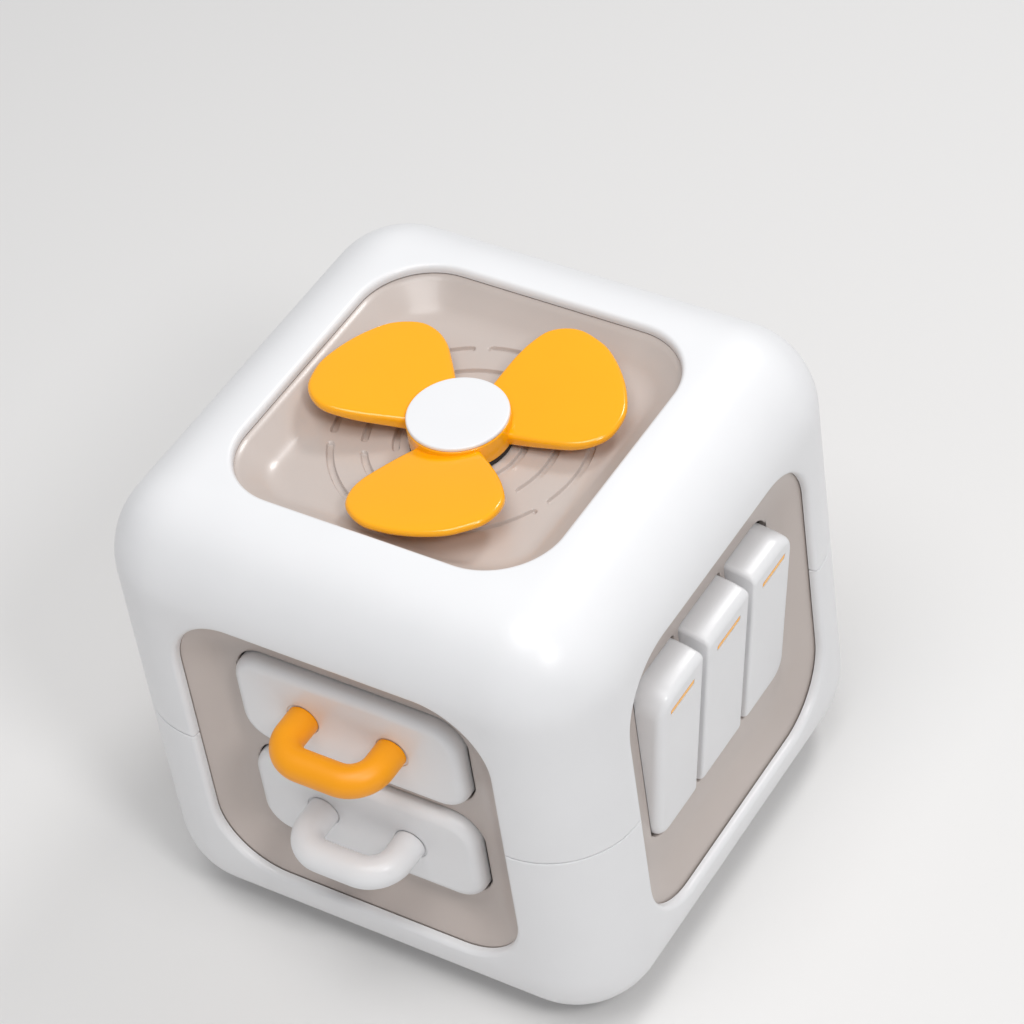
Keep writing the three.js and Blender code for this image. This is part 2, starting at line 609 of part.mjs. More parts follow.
function buildDrawer(name, centre, handleMaterial) {
  const frame = FACES.front;
  const { halfWidth, halfHeight, radius, fillet, faceDepth, blockDepth } = DRAWER;
  const blockBack = faceDepth + blockDepth;
  const trayBack = blockBack + DRAWER.trayDepth;
  const block = loft([
    { a: halfWidth - fillet, b: halfHeight - fillet, radius: radius - fillet, depth: faceDepth },
    { a: halfWidth - 0.94, b: halfHeight - 0.94, radius: radius - 0.94, depth: faceDepth + 0.94 },
    { a: halfWidth, b: halfHeight, radius, depth: faceDepth + fillet },
    { a: halfWidth, b: halfHeight, radius, depth: blockBack },
  ]).translate(0, centre, 0);
  const floorB = centre - halfHeight;
  const topB = floorB + DRAWER.traySide;
  const { wall, frontWall } = DRAWER;
  const inner = DRAWER.trayHalf - wall;
  const tunnel = (inset, from, to) => place(loft([from, to].map((depth) => (
    { a: halfWidth - inset, b: halfHeight - inset, radius: radius - inset, depth }
  ))).translate(0, centre, 0), frame);
  const tray = boxIn(
    frame, [-DRAWER.trayHalf, floorB, -trayBack], [DRAWER.trayHalf, topB, -blockBack + 0.5],
  ).intersect(tunnel(0, blockBack - 1, trayBack + 1));
  const ears = boxIn(
    frame, [-DRAWER.earHalf, centre - DRAWER.earFoot, -trayBack],
    [DRAWER.earHalf, topB, -trayBack + DRAWER.earDepth],
  );
  const trayHollow = boxIn(
    frame, [-inner, floorB, -trayBack + wall], [inner, topB + 5, -blockBack - 0.01],
  ).intersect(union(
    tunnel(wall, blockBack - 1, trayBack),
    boxIn(frame, [-inner, centre, -trayBack], [inner, topB + 5, -blockBack + 1]),
  ));
  const blockHollow = boxIn(
    frame, [-inner, floorB, -blockBack - 0.5], [inner, centre + DRAWER.pocketRise, -faceDepth - frontWall],
  ).intersect(tunnel(wall, faceDepth, blockBack + 1));
  let drawer = cut(union(place(block, frame), tray, ears), trayHollow, blockHollow);
  for (const sign of [-1, 1]) {
    const a = sign * HANDLE.halfSpan;
    drawer = cut(
      drawer,
      pinIn(frame, a, centre, faceDepth - 1, faceDepth + HANDLE.seatDepth, HANDLE.seatRadius, 12),
      pinIn(frame, a, centre, faceDepth - 1, blockBack, PANEL_BOSS.pilot),
    );
  }
  addSolid(`drawer_${name}`, drawer, WHITE);
  addHandle(name, centre, handleMaterial);
}

// Handle length of a cubic curve that follows a quarter circle, for a radius of 1.
const QUARTER_PULL = 0.5523;

// U-shaped pull handle: two legs, two quarter bends and a bar, swept with a round section.
function addHandle(name, centre, material) {
  const { halfSpan, barRadius, reach, bend } = HANDLE;
  const foot = -DRAWER.faceDepth - HANDLE.seatDepth + CLEAR;
  const point = (a, c) => new THREE.Vector3(a, centre, c);
  const pull = bend * QUARTER_PULL;
  const route = new THREE.CurvePath();
  route.add(new THREE.LineCurve3(point(-halfSpan, foot), point(-halfSpan, reach - bend)));
  route.add(new THREE.CubicBezierCurve3(
    point(-halfSpan, reach - bend), point(-halfSpan, reach - bend + pull),
    point(-halfSpan + bend - pull, reach), point(-halfSpan + bend, reach),
  ));
  route.add(new THREE.LineCurve3(point(-halfSpan + bend, reach), point(halfSpan - bend, reach)));
  route.add(new THREE.CubicBezierCurve3(
    point(halfSpan - bend, reach), point(halfSpan - bend + pull, reach),
    point(halfSpan, reach - bend + pull), point(halfSpan, reach - bend),
  ));
  route.add(new THREE.LineCurve3(point(halfSpan, reach - bend), point(halfSpan, foot)));
  const section = new THREE.Shape().absarc(0, 0, barRadius, 0, 2 * Math.PI, false);
  const bar = new THREE.ExtrudeGeometry(section, { extrudePath: route, steps: 20, curveSegments: 5 });
  let handle = place(bar, FACES.front);
  for (const sign of [-1, 1]) {
    const a = sign * halfSpan;
    handle = handle.subtract(pinIn(FACES.front, a, centre, -foot + 1, -foot - 7, PANEL_BOSS.pilot));
    const headDepth = DRAWER.faceDepth + DRAWER.frontWall + CLEAR;
    const side = sign < 0 ? 'left' : 'right';
    const screw = screwIn(FACES.front, a, centre, headDepth, -foot - 6);
    addSolid(`handle_screw_${name}_${side}`, screw, STEEL);
  }
  addSolid(`handle_${name}`, handle, material);
}

function buildHousing() {
  const frame = FACES.front;
  const { front, back, wall, cellHalfWidth, cellHalfHeight } = HOUSING;
  const { upper, lower } = DRAWER.centres;
  const half = cellHalfWidth + wall;
  let housing = boxIn(
    frame, [-half, lower - cellHalfHeight - wall, -back], [half, upper + cellHalfHeight + wall, -front],
  );
  const ribDepth = DRAWER.faceDepth + DRAWER.blockDepth + STOP_RIB.gap;
  for (const centre of [upper, lower]) {
    let cell = boxIn(
      frame, [-cellHalfWidth, centre - cellHalfHeight, -back + wall],
      [cellHalfWidth, centre + cellHalfHeight, -front + 1],
    );
    for (const sign of [-1, 1]) {
      const edges = [DRAWER.trayHalf + STOP_RIB.gap, cellHalfWidth + 1]
        .map((edge) => sign * edge).sort((p, q) => p - q);
      cell = cell.subtract(boxIn(
        frame, [edges[0], centre - STOP_RIB.halfHeight, -ribDepth - STOP_RIB.thickness],
        [edges[1], centre + STOP_RIB.halfHeight, -ribDepth],
      ));
    }
    housing = housing.subtract(cell);
  }
  CORNERS.forEach(([signA, signB], index) => {
    const a = signA * HOUSING_BOSS.a;
    const b = signB * HOUSING_BOSS.b;
    const earTop = HOUSING_BOSS.end + CLEAR;
    const { earReach, earHalf, earThickness } = HOUSING_BOSS;
    const edges = [signA * (half - 0.5), signA * earReach].sort((p, q) => p - q);
    housing = housing.add(boxIn(
      frame, [edges[0], b - earHalf, -earTop - earThickness], [edges[1], b + earHalf, -earTop],
    ));
    housing = housing.subtract(pinIn(frame, a, b, earTop - 1, earTop + earThickness + 1, SCREW_HOLE));
    const screw = screwIn(frame, a, b, earTop + earThickness + CLEAR, HOUSING_BOSS.top + 3);
    addSolid(`housing_screw_${index + 1}`, screw, STEEL);
  });
  addSolid('drawer_housing', housing, GREY);
}

// ---- Rockers ------------------------------------------------------------------------------

// Side profile in the rocker's own frame: x is u, out of the face, and y is v, up the face.
function rockerProfile() {
  const { arcRadius, fillet, faceHeight, back } = ROCKER;
  const filletU = faceHeight - fillet;
  const filletV = Math.sqrt((arcRadius - fillet) ** 2 - filletU ** 2);
  const backAngle = Math.acos(back / arcRadius);
  const tangent = Math.atan2(filletV, filletU);
  const shape = new THREE.Shape();
  shape.absarc(0, 0, arcRadius, backAngle, tangent, true);
  shape.absarc(filletU, filletV, fillet, tangent, 0, true);
  shape.absarc(filletU, -filletV, fillet, 0, -tangent, true);
  shape.absarc(0, 0, arcRadius, -tangent, -backAngle, true);
  shape.closePath();
  return shape;
}

// Stands a shape drawn in (along the pivot, up the face) up so that its own z points out of the face.
const STANDING = faceFrame([0, 1, 0], [0, 0, 1], [1, 0, 0], [0, 0, 0]);

// Turns a profile drawn in (u, v) and extruded along its own z to run along the pivot axis.
function alongPivot(geometry, width) {
  return geometry.translate(0, 0, -width / 2).rotateX(Math.PI / 2);
}

function pivotPin(radius, halfLength, sides = 12) {
  return toSolid(new THREE.CylinderGeometry(radius, radius, 2 * halfLength, sides));
}

// Front view of a rocker, with large corners only on its outer side.
function rockerPlan(outerSide) {
  const half = ROCKER.halfWidth;
  const tall = ROCKER.arcRadius + 1;
  const radiusAt = (side) => (side === outerSide ? ROCKER.cornerRadius : ROCKER.edgeRadius);
  const right = radiusAt(1);
  const left = radiusAt(-1);
  const topV = ROCKER.arcRadius - 0.6;
  const shape = new THREE.Shape();
  shape.moveTo(half, 0);
  shape.absarc(half - right, topV - right, right, 0, Math.PI / 2, false);
  shape.lineTo(half - right, tall);
  shape.lineTo(-half + left, tall);
  shape.absarc(-half + left, topV - left, left, Math.PI / 2, Math.PI, false);
  shape.absarc(-half + left, -topV + left, left, Math.PI, 1.5 * Math.PI, false);
  shape.lineTo(-half + left, -tall);
  shape.lineTo(half - right, -tall);
  shape.absarc(half - right, -topV + right, right, -Math.PI / 2, 0, false);
  shape.closePath();
  return shape;
}

// A rocker in its own frame: x is u, out of the face, y runs along the pivot, z is v, up the face.
function rockerSolid(outerSide) {
  const { halfWidth, wall, back, faceHeight, pocketU, pocketHalf, slotV } = ROCKER;
  const profile = alongPivot(prism(rockerProfile(), 2 * halfWidth, 3), 2 * halfWidth);
  const planReach = 15;
  const plan = prism(rockerPlan(outerSide), 2 * planReach, 3)
    .translate(0, 0, -planReach).applyMatrix4(STANDING);
  const inner = halfWidth - wall;
  const cornerRoom = ROCKER.cornerRadius * 0.3;
  const low = -inner + (outerSide < 0 ? cornerRoom : 0);
  const high = inner - (outerSide > 0 ? cornerRoom : 0);
  const nose = ROCKER.noseThickness / 2;
  const slotHalf = INDICATOR.slotLength / 2;
  const slotRise = INDICATOR.slotWidth / 2;
  const hollow = boxIn(WORLD, [back - 1, low, -pocketHalf], [pocketU, high, pocketHalf]);
  const web = boxIn(
    WORLD, [-ROCKER.noseReach, -ROCKER.noseHalf, -nose], [pocketU + 0.3, ROCKER.noseHalf, nose],
  );
  const slot = boxIn(
    WORLD, [faceHeight - INDICATOR.slotDepth, -slotHalf, slotV - slotRise],
    [faceHeight + 1, slotHalf, slotV + slotRise],
  );
  const shell = toSolid(profile).intersect(toSolid(plan)).subtract(hollow);
  const fitted = union(shell, pivotPin(ROCKER.hubRadius, halfWidth - 0.5), web);
  return cut(fitted, pivotPin(ROCKER.boreRadius, halfWidth + 1), slot);
}

function placeRocker(mesh, a) {
  mesh.position.set(HALF - PIVOT_DEPTH, a, MID + ROCKER.pivotRise);
  mesh.rotation.y = THREE.MathUtils.degToRad(ROCKER.restTilt);
}

function indicatorSolid() {
  const { slotDepth, length, width } = INDICATOR;
  const { faceHeight, slotV } = ROCKER;
  return boxIn(
    WORLD, [faceHeight - slotDepth + CLEAR, -length / 2, slotV - width / 2],
    [faceHeight - INDICATOR.sunk, length / 2, slotV + width / 2],
  );
}

// Bowed leaf spring behind a rocker: its feet stand on the backplate and its crown faces the rocker's nose.
function detentLeaf(a) {
  const { half, thickness, foot, width } = LEAF;
  const standing = -BACKPLATE.depth + CLEAR;
  const crown = -PIVOT_DEPTH - ROCKER.noseReach - LEAF.clearance;
  const pull = 2 * crown - standing;
  const spring = half - foot;
  const shape = new THREE.Shape();
  shape.moveTo(-half, standing);
  shape.lineTo(-spring, standing);
  shape.quadraticCurveTo(0, pull - 1, spring, standing);
  shape.lineTo(half, standing);
  shape.lineTo(half, standing + thickness);
  shape.lineTo(spring - thickness / 2, standing + thickness);
  shape.quadraticCurveTo(0, pull + thickness, -spring + thickness / 2, standing + thickness);
  shape.lineTo(-half, standing + thickness);
  shape.closePath();
  const leaf = prism(shape, width, 4).translate(0, 0, -width / 2).applyMatrix4(STANDING);
  return place(leaf.translate(a, ROCKER.pivotRise, 0), FACES.right);
}

function buildRockers() {
  ['near', 'middle', 'far'].forEach((name, index) => {
    const outerSide = index - 1;
    const a = outerSide * ROCKER.pitch;
    placeRocker(addSolid(`rocker_${name}`, rockerSolid(outerSide), WHITE), a);
    placeRocker(addSolid(`indicator_${name}`, indicatorSolid(), AMBER), a);
    addSolid(`detent_leaf_${name}`, detentLeaf(a), STEEL);
  });
}

function buildRockerMounting() {
  const frame = FACES.right;
  const rodZ = MID + ROCKER.pivotRise;
  const rodX = HALF - PIVOT_DEPTH;
  const headAt = RIB_FACE + CLEAR;
  const headEnd = headAt + ROD.headHeight;
  const { radius, headRadius } = ROD;
  const rod = lathe([
    [0, -ROD.halfLength], [radius - 0.4, -ROD.halfLength], [radius, -ROD.halfLength + 0.4],
    [radius, headAt], [headRadius, headAt], [headRadius, headEnd], [0, headEnd],
  ], 12);
  rod.rotateX(-Math.PI / 2);
  rod.translate(rodX, 0, rodZ);
  addMesh('rocker_rod', rod, STEEL);
  const retainerEnd = -headAt - ROD.retainerHeight;
  const retainer = lathe([
    [radius + CLEAR, retainerEnd], [headRadius, retainerEnd], [headRadius, -headAt],
    [radius + CLEAR, -headAt], [radius + CLEAR, retainerEnd],
  ], 12);
  retainer.rotateX(-Math.PI / 2);
  retainer.translate(rodX, 0, rodZ);
  addMesh('rod_retainer', retainer, STEEL);

  const { depth, thickness, halfWidth, halfHeight, postA, postB } = BACKPLATE;
  const rise = ROCKER.pivotRise;
  let plate = boxIn(
    frame, [-halfWidth, rise - halfHeight, -depth - thickness], [halfWidth, rise + halfHeight, -depth],
  );
  CORNERS.forEach(([signA, signB], index) => {
    const a = signA * postA;
    const b = rise + signB * postB;
    plate = plate.subtract(pinIn(frame, a, b, depth - 1, depth + thickness + 1, SCREW_HOLE));
    const screw = screwIn(frame, a, b, depth + thickness + CLEAR, DISH.right + 7);
    addSolid(`backplate_screw_${index + 1}`, screw, STEEL);
  });
  addSolid('switch_backplate', plate, GREY);
}

// ---- Assembly -----------------------------------------------------------------------------

buildShells();
buildTopPanel();
buildFrontPanel();
buildRightPanel();
buildPlainPanels();
buildFan();
buildDrawer('upper', DRAWER.centres.upper, AMBER_MATT);
buildDrawer('lower', DRAWER.centres.lower, WHITE);
buildHousing();
buildRockers();
buildRockerMounting();

export default part;
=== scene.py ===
import json
import math

import bmesh
import bpy
from mathutils import Matrix, Vector


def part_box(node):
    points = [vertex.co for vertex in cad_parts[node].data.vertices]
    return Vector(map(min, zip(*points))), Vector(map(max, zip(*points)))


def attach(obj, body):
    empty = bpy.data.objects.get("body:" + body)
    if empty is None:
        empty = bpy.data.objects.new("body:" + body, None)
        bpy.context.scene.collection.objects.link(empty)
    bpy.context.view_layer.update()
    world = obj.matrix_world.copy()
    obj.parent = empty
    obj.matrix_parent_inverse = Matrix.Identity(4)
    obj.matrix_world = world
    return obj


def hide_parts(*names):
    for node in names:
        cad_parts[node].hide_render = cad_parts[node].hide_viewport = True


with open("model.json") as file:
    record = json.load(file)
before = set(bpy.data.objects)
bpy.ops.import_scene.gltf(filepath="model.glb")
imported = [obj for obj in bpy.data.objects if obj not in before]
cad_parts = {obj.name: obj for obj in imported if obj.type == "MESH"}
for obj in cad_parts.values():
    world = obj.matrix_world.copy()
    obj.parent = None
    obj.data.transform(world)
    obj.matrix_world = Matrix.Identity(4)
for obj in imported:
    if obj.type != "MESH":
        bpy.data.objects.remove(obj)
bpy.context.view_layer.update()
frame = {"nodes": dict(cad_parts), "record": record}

# ---- Sizes, in millimetres, taken from the frame where it holds them ----------------------

MM = 0.001


def node_box(node):
    """Lowest and highest corner of a CAD node, in millimetres."""
    return [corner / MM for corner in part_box(node)]


SHELL_LOW = node_box("lower_shell")[0]
SHELL_HIGH = node_box("upper_shell")[1]
HALF = (SHELL_HIGH.x - SHELL_LOW.x) / 2
HEIGHT = SHELL_HIGH.z - SHELL_LOW.z
MID = HEIGHT / 2

EDGE_RADIUS = 25.0
WALL = 2.5
SEAM = 0.15          # half of the gap between the shells
SEAM_EDGE = 0.4      # rounding of the shells' meeting edges
THROAT = 48.3        # window's half width behind the lip
BASE_THROAT = 42.0
WINDOW_RADIUS = 20.0
LIP = (1.5, 1.8)     # lip's width and depth
SEAT = 3.0           # depth of the panels' flanges
FLOOR_INSET = 9.1    # from the throat to the foot of the dish's slope
PANEL_SHEET = 2.0
FLANGE = 3.0         # how far a panel's flange reaches past the throat
FLANGE_CORNER = 10.0
FLOOR_TOE = 3.2      # the round foot's width, past the slope's own line
FLOOR_RADIUS = 8.5
SLOPE_SHARE = 0.68   # straight part of a dish's slope
PANEL_STEPS = 240    # points around a panel's rings

DISH_DEPTH = {"top": 10.2, "front": 9.6, "right": 7.0, "back": 9.6, "left": 9.6}


def face_matrix(a, b, c, origin):
    """From a face's own millimetres (a along, b up, c out of it) to the frame's metres."""
    turn = Matrix((Vector(a), Vector(b), Vector(c))).transposed().to_4x4()
    return Matrix.Translation(Vector(origin) * MM) @ turn @ Matrix.Scale(MM, 4)


FACES = {
    "top": face_matrix((1, 0, 0), (0, 1, 0), (0, 0, 1), (0, 0, HEIGHT)),
    "bottom": face_matrix((1, 0, 0), (0, -1, 0), (0, 0, -1), (0, 0, 0)),
    "front": face_matrix((1, 0, 0), (0, 0, 1), (0, -1, 0), (0, -HALF, MID)),
    "back": face_matrix((-1, 0, 0), (0, 0, 1), (0, 1, 0), (0, HALF, MID)),
    "right": face_matrix((0, 1, 0), (0, 0, 1), (1, 0, 0), (HALF, 0, MID)),
    "left": face_matrix((0, -1, 0), (0, 0, 1), (-1, 0, 0), (-HALF, 0, MID)),
}
UPRIGHT = Matrix.Scale(MM, 4)

# ---- Materials ----------------------------------------------------------------------------


def link(tree, source, output, target, socket):
    tree.links.new(source.outputs[output], target.inputs[socket])


CLOUD_SCALE = 45.0
SMEAR_SCALE = 140.0
GLOSS_SPREAD = (0.88, 1.14)
COAT_ROUGHNESS = 0.12
GRAIN_HEIGHT = 0.0001


def moulded_plastic(name, color, tint, roughness, grain_mm, grain_bump, coat=0.0):
    """Moulded plastic: faint cloudiness in the colour, uneven gloss and a fine spark-eroded grain."""
    material = bpy.data.materials.new(name)
    material.use_nodes = True
    tree = material.node_tree
    shader = tree.nodes["Principled BSDF"]
    shader.inputs["Coat Weight"].default_value = coat
    shader.inputs["Coat Roughness"].default_value = COAT_ROUGHNESS

    place = tree.nodes.new("ShaderNodeTexCoord")
    cloud = tree.nodes.new("ShaderNodeTexNoise")
    cloud.inputs["Scale"].default_value = CLOUD_SCALE
    cloud.inputs["Detail"].default_value = 3.0
    link(tree, place, "Object", cloud, "Vector")
    shade = tree.nodes.new("ShaderNodeMix")
    shade.data_type = "RGBA"
    shade.inputs[6].default_value = (*color, 1)
    shade.inputs[7].default_value = (*tint, 1)
    tree.links.new(cloud.outputs["Fac"], shade.inputs[0])
    tree.links.new(shade.outputs[2], shader.inputs["Base Color"])

    smear = tree.nodes.new("ShaderNodeTexNoise")
    smear.inputs["Scale"].default_value = SMEAR_SCALE
    smear.inputs["Detail"].default_value = 4.0
    link(tree, place, "Object", smear, "Vector")
    gloss = tree.nodes.new("ShaderNodeMapRange")
    gloss.inputs["To Min"].default_value = roughness * GLOSS_SPREAD[0]
    gloss.inputs["To Max"].default_value = roughness * GLOSS_SPREAD[1]
    link(tree, smear, "Fac", gloss, "Value")
    link(tree, gloss, "Result", shader, "Roughness")

    grain = tree.nodes.new("ShaderNodeTexNoise")
    grain.inputs["Scale"].default_value = 1.0 / (grain_mm * MM)
    grain.inputs["Detail"].default_value = 2.0
    link(tree, place, "Object", grain, "Vector")
    bump = tree.nodes.new("ShaderNodeBump")
    bump.inputs["Strength"].default_value = grain_bump
    bump.inputs["Distance"].default_value = GRAIN_HEIGHT
    link(tree, grain, "Fac", bump, "Height")
    link(tree, bump, "Normal", shader, "Normal")
    return material


def brushed_steel(name):
    """Bright plated steel with a drawn grain along Z."""
    material = bpy.data.materials.new(name)
    material.use_nodes = True
    tree = material.node_tree
    shader = tree.nodes["Principled BSDF"]
    shader.inputs["Metallic"].default_value = 1.0
    place = tree.nodes.new("ShaderNodeTexCoord")
    stretch = tree.nodes.new("ShaderNodeMapping")
    stretch.inputs["Scale"].default_value = (1, 1, 0.05)
    link(tree, place, "Object", stretch, "Vector")
    grain = tree.nodes.new("ShaderNodeTexNoise")
    grain.inputs["Scale"].default_value = 3000.0
    link(tree, stretch, "Vector", grain, "Vector")
    tone = tree.nodes.new("ShaderNodeMix")
    tone.data_type = "RGBA"
    tone.inputs[6].default_value = (0.5, 0.51, 0.53, 1)
    tone.inputs[7].default_value = (0.68, 0.68, 0.7, 1)
    tree.links.new(grain.outputs["Fac"], tone.inputs[0])
    tree.links.new(tone.outputs[2], shader.inputs["Base Color"])
    gloss = tree.nodes.new("ShaderNodeMapRange")
    gloss.inputs["To Min"].default_value = 0.2
    gloss.inputs["To Max"].default_value = 0.4
    link(tree, grain, "Fac", gloss, "Value")
    link(tree, gloss, "Result", shader, "Roughness")
    return material


MATERIALS = {
    "white_plastic": moulded_plastic(
        "white_moulded", (0.80, 0.80, 0.81), (0.84, 0.84, 0.85), 0.36, 0.35, 0.05, coat=0.15),
    "greige_plastic": moulded_plastic(
        "greige_moulded", (0.53, 0.465, 0.43), (0.57, 0.50, 0.46), 0.3, 0.3, 0.08, coat=0.25),
    "amber_gloss": moulded_plastic(
        "amber_gloss", (1.0, 0.41, 0.0), (1.0, 0.44, 0.0), 0.2, 0.6, 0.03, coat=0.4),
    "amber_matt": moulded_plastic(
        "amber_matt", (0.97, 0.36, 0.0), (1.0, 0.385, 0.0), 0.42, 0.25, 0.15),
    "black_rubber": moulded_plastic(
        "black_rubber", (0.008, 0.008, 0.008), (0.014, 0.014, 0.014), 0.6, 0.3, 0.2),
    "grey_plastic": moulded_plastic(
        "grey_inner", (0.30, 0.30, 0.31), (0.34, 0.34, 0.35), 0.55, 0.3, 0.15),
    "steel": brushed_steel("plated_steel"),
}

# ---- Mesh tools ---------------------------------------------------------------------------


class Form:
    """A mesh made of rings of points, in the millimetres of one face or part."""

    def __init__(self):
        self.mesh = bmesh.new()

    def ring(self, points):
        return [self.mesh.verts.new(Vector(point)) for point in points]

    def bridge(self, first, second, closed=True):
        count = len(first)
        for k in range(count if closed else count - 1):
            n = (k + 1) % count
            self.mesh.faces.new((first[k], first[n], second[n], second[k]))

    def bridge_all(self, rings, closed=True):
        for first, second in zip(rings, rings[1:]):
            self.bridge(first, second, closed)

    def polygon(self, ring):
        return self.mesh.faces.new(ring)

    def fan(self, ring, centre):
        middle = self.mesh.verts.new(Vector(centre))
        for k, vertex in enumerate(ring):
            self.mesh.faces.new((vertex, ring[(k + 1) % len(ring)], middle))

    def fill(self, *loops):
        """Fills a flat outline, less the holes inside it."""
        edges = []
        for loop in loops:
            for k, vertex in enumerate(loop):
                pair = (vertex, loop[(k + 1) % len(loop)])
                edges.append(self.mesh.edges.get(pair) or self.mesh.edges.new(pair))
        bmesh.ops.triangle_fill(self.mesh, use_beauty=True, edges=edges)

    def box(self, low, high):
        """Plain block between two corners."""
        ends = list(zip(low, high))
        v = self.ring([(x, y, z) for z in ends[2] for y in ends[1] for x in ends[0]])
        for quad in ((0, 2, 3, 1), (4, 5, 7, 6), (0, 1, 5, 4), (2, 6, 7, 3), (0, 4, 6, 2), (1, 3, 7, 5)):
            self.mesh.faces.new([v[k] for k in quad])

    def transform(self, matrix):
        bmesh.ops.transform(self.mesh, matrix=matrix, verts=self.mesh.verts[:])


def finish_piece(name, form, matrix, body, nodes, slot, crease=35):
    """Turns a form into a piece that stands for CAD nodes and rides on their body."""
    bmesh.ops.transform(form.mesh, matrix=matrix, verts=form.mesh.verts[:])
    bmesh.ops.remove_doubles(form.mesh, verts=form.mesh.verts[:], dist=2e-6)
    bmesh.ops.recalc_face_normals(form.mesh, faces=form.mesh.faces[:])
    data = bpy.data.meshes.new(name)
    form.mesh.to_mesh(data)
    form.mesh.free()
    data.shade_smooth()
    data.set_sharp_from_angle(angle=math.radians(crease))
    piece = bpy.data.objects.new(name, data)
    bpy.context.scene.collection.objects.link(piece)
    data.materials.append(MATERIALS[slot])
    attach(piece, body)
    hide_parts(*nodes)


def rounded_rect(half_a, half_b, radii, per_corner=12):
    """Outline with a radius for each corner, counter-clockwise from the (+, +) corner."""
    if not isinstance(radii, (tuple, list)):
        radii = (radii,) * 4
    signs = ((1, 1), (-1, 1), (-1, -1), (1, -1))
    points = []
    for corner, (sign_a, sign_b) in enumerate(signs):
        radius = radii[corner]
        for step in range(per_corner + 1):
            angle = math.radians(90 * (corner + step / per_corner))
            points.append((
                sign_a * (half_a - radius) + radius * math.cos(angle),
                sign_b * (half_b - radius) + radius * math.sin(angle),
            ))
    return points


def at_depth(points, depth, centre=(0, 0)):
    return [(a + centre[0], b + centre[1], -depth) for a, b in points]


def circle(radius, count=48):
    step = 2 * math.pi / count
    return [(radius * math.cos(k * step), radius * math.sin(k * step)) for k in range(count)]


def quarter(steps):
    """Angles from 0 to 90 degrees, in radians."""
    return [math.pi / 2 * k / steps for k in range(steps + 1)]


def lathe_form(profile, count=96):
    """Solid of revolution about Z. Its (radius, height) points start and end on the axis, or close."""
    form = Form()
    rings = []
    for radius, height in profile:
        if radius > 0:
            rings.append(form.ring([(x, y, height) for x, y in circle(radius, count)]))
    form.bridge_all(rings)
    if profile[0][0] == 0:
        form.fan(rings[0], (0, 0, profile[0][1]))
    if profile[-1][0] == 0:
        form.fan(rings[-1], (0, 0, profile[-1][1]))
    return form


# ---- Shells -------------------------------------------------------------------------------

REACH = THROAT - WINDOW_RADIUS   # straight half length of a window's side
PLAIN_ROWS = [REACH * k / 5 for k in range(-5, 5)]
SEAM_ROWS = [SEAM, SEAM + 0.06, SEAM + 0.15, SEAM + 0.27, SEAM + 0.4, 1.2, 4, 10, 16, 22]
CORNER_STEPS = 10
SPREAD = 14


def rim_samples(throat, half_a, half_b, with_seam):
    """Around a window: the throat's point, the direction out of the window, the face's square rim."""
    scale = (throat - WINDOW_RADIUS) / REACH
    samples = []
    for turn in range(4):
        side, following = (half_a, half_b) if turn % 2 == 0 else (half_b, half_a)
        rows = PLAIN_ROWS
        if with_seam and turn % 2 == 0:
            rows = [-REACH] + [-row for row in reversed(SEAM_ROWS)] + SEAM_ROWS
        local = [((throat, row * scale), (1, 0), (side, row)) for row in rows]
        for k in range(2 * CORNER_STEPS):
            angle = math.pi / 2 * k / (2 * CORNER_STEPS)
            out = (math.cos(angle), math.sin(angle))
            centre = throat - WINDOW_RADIUS
            base = (centre + WINDOW_RADIUS * out[0], centre + WINDOW_RADIUS * out[1])
            if k <= CORNER_STEPS:
                rim = (side, REACH + (following - REACH) * k / CORNER_STEPS)
            else:
                rim = (REACH + (side - REACH) * (2 - k / CORNER_STEPS), following)
            local.append((base, out, rim))
        for sample in local:
            turned = []
            for x, y in sample:
                for _ in range(turn):
                    x, y = -y, x
                turned.append((x, y))
            samples.append(turned)
    return samples


def on_body(u, v, half_a, half_b, radius):
    """Point of the rounded body, in a face's own axes, from its place on the face's flat square."""
    flat_a, flat_b = half_a - EDGE_RADIUS, half_b - EDGE_RADIUS
    near_a, near_b = max(-flat_a, min(flat_a, u)), max(-flat_b, min(flat_b, v))
    normal = Vector((u - near_a, v - near_b, EDGE_RADIUS)).normalized()
    return Vector((near_a, near_b, -EDGE_RADIUS)) + normal * radius


def seam_inset(b, with_seam):
    """How far the surface draws back at the rounded meeting edge of the shells."""
    past = abs(b) - SEAM
    if not with_seam or past >= SEAM_EDGE:
        return 0.0
    return SEAM_EDGE - math.sqrt(SEAM_EDGE ** 2 - (SEAM_EDGE - past) ** 2)


def shell_section(sample, half_a, half_b, with_seam):
    """Section through the wall: inside surface, back of the lip, lip and outside surface."""
    base, out, rim = (Vector(value) for value in sample)
    lip_edge = base + out * LIP[0]
    spread = [math.tan(math.pi / 4 * k / SPREAD) for k in range(1, SPREAD + 1)]
    places = [lip_edge] + [lip_edge.lerp(rim, share) for share in spread]
    inset = [seam_inset(place.y, with_seam) for place in places]
    inside = [on_body(p.x, p.y, half_a, half_b, EDGE_RADIUS - WALL) for p in places]
    outside = [
        on_body(p.x, p.y, half_a, half_b, EDGE_RADIUS - drawn) for p, drawn in zip(places, inset)
    ]
    drawn = seam_inset(base.y, with_seam)
    throat = base + out * drawn
    lip = [Vector((throat.x, throat.y, -WALL))]
    for angle in quarter(8)[:-1]:
        width = LIP[0] * (1 - math.cos(angle))
        place = base + out * max(width, drawn)
        lip.append(Vector((place.x, place.y, -max(LIP[1] * (1 - math.sin(angle)), drawn))))
    return inside[::-1] + lip + outside


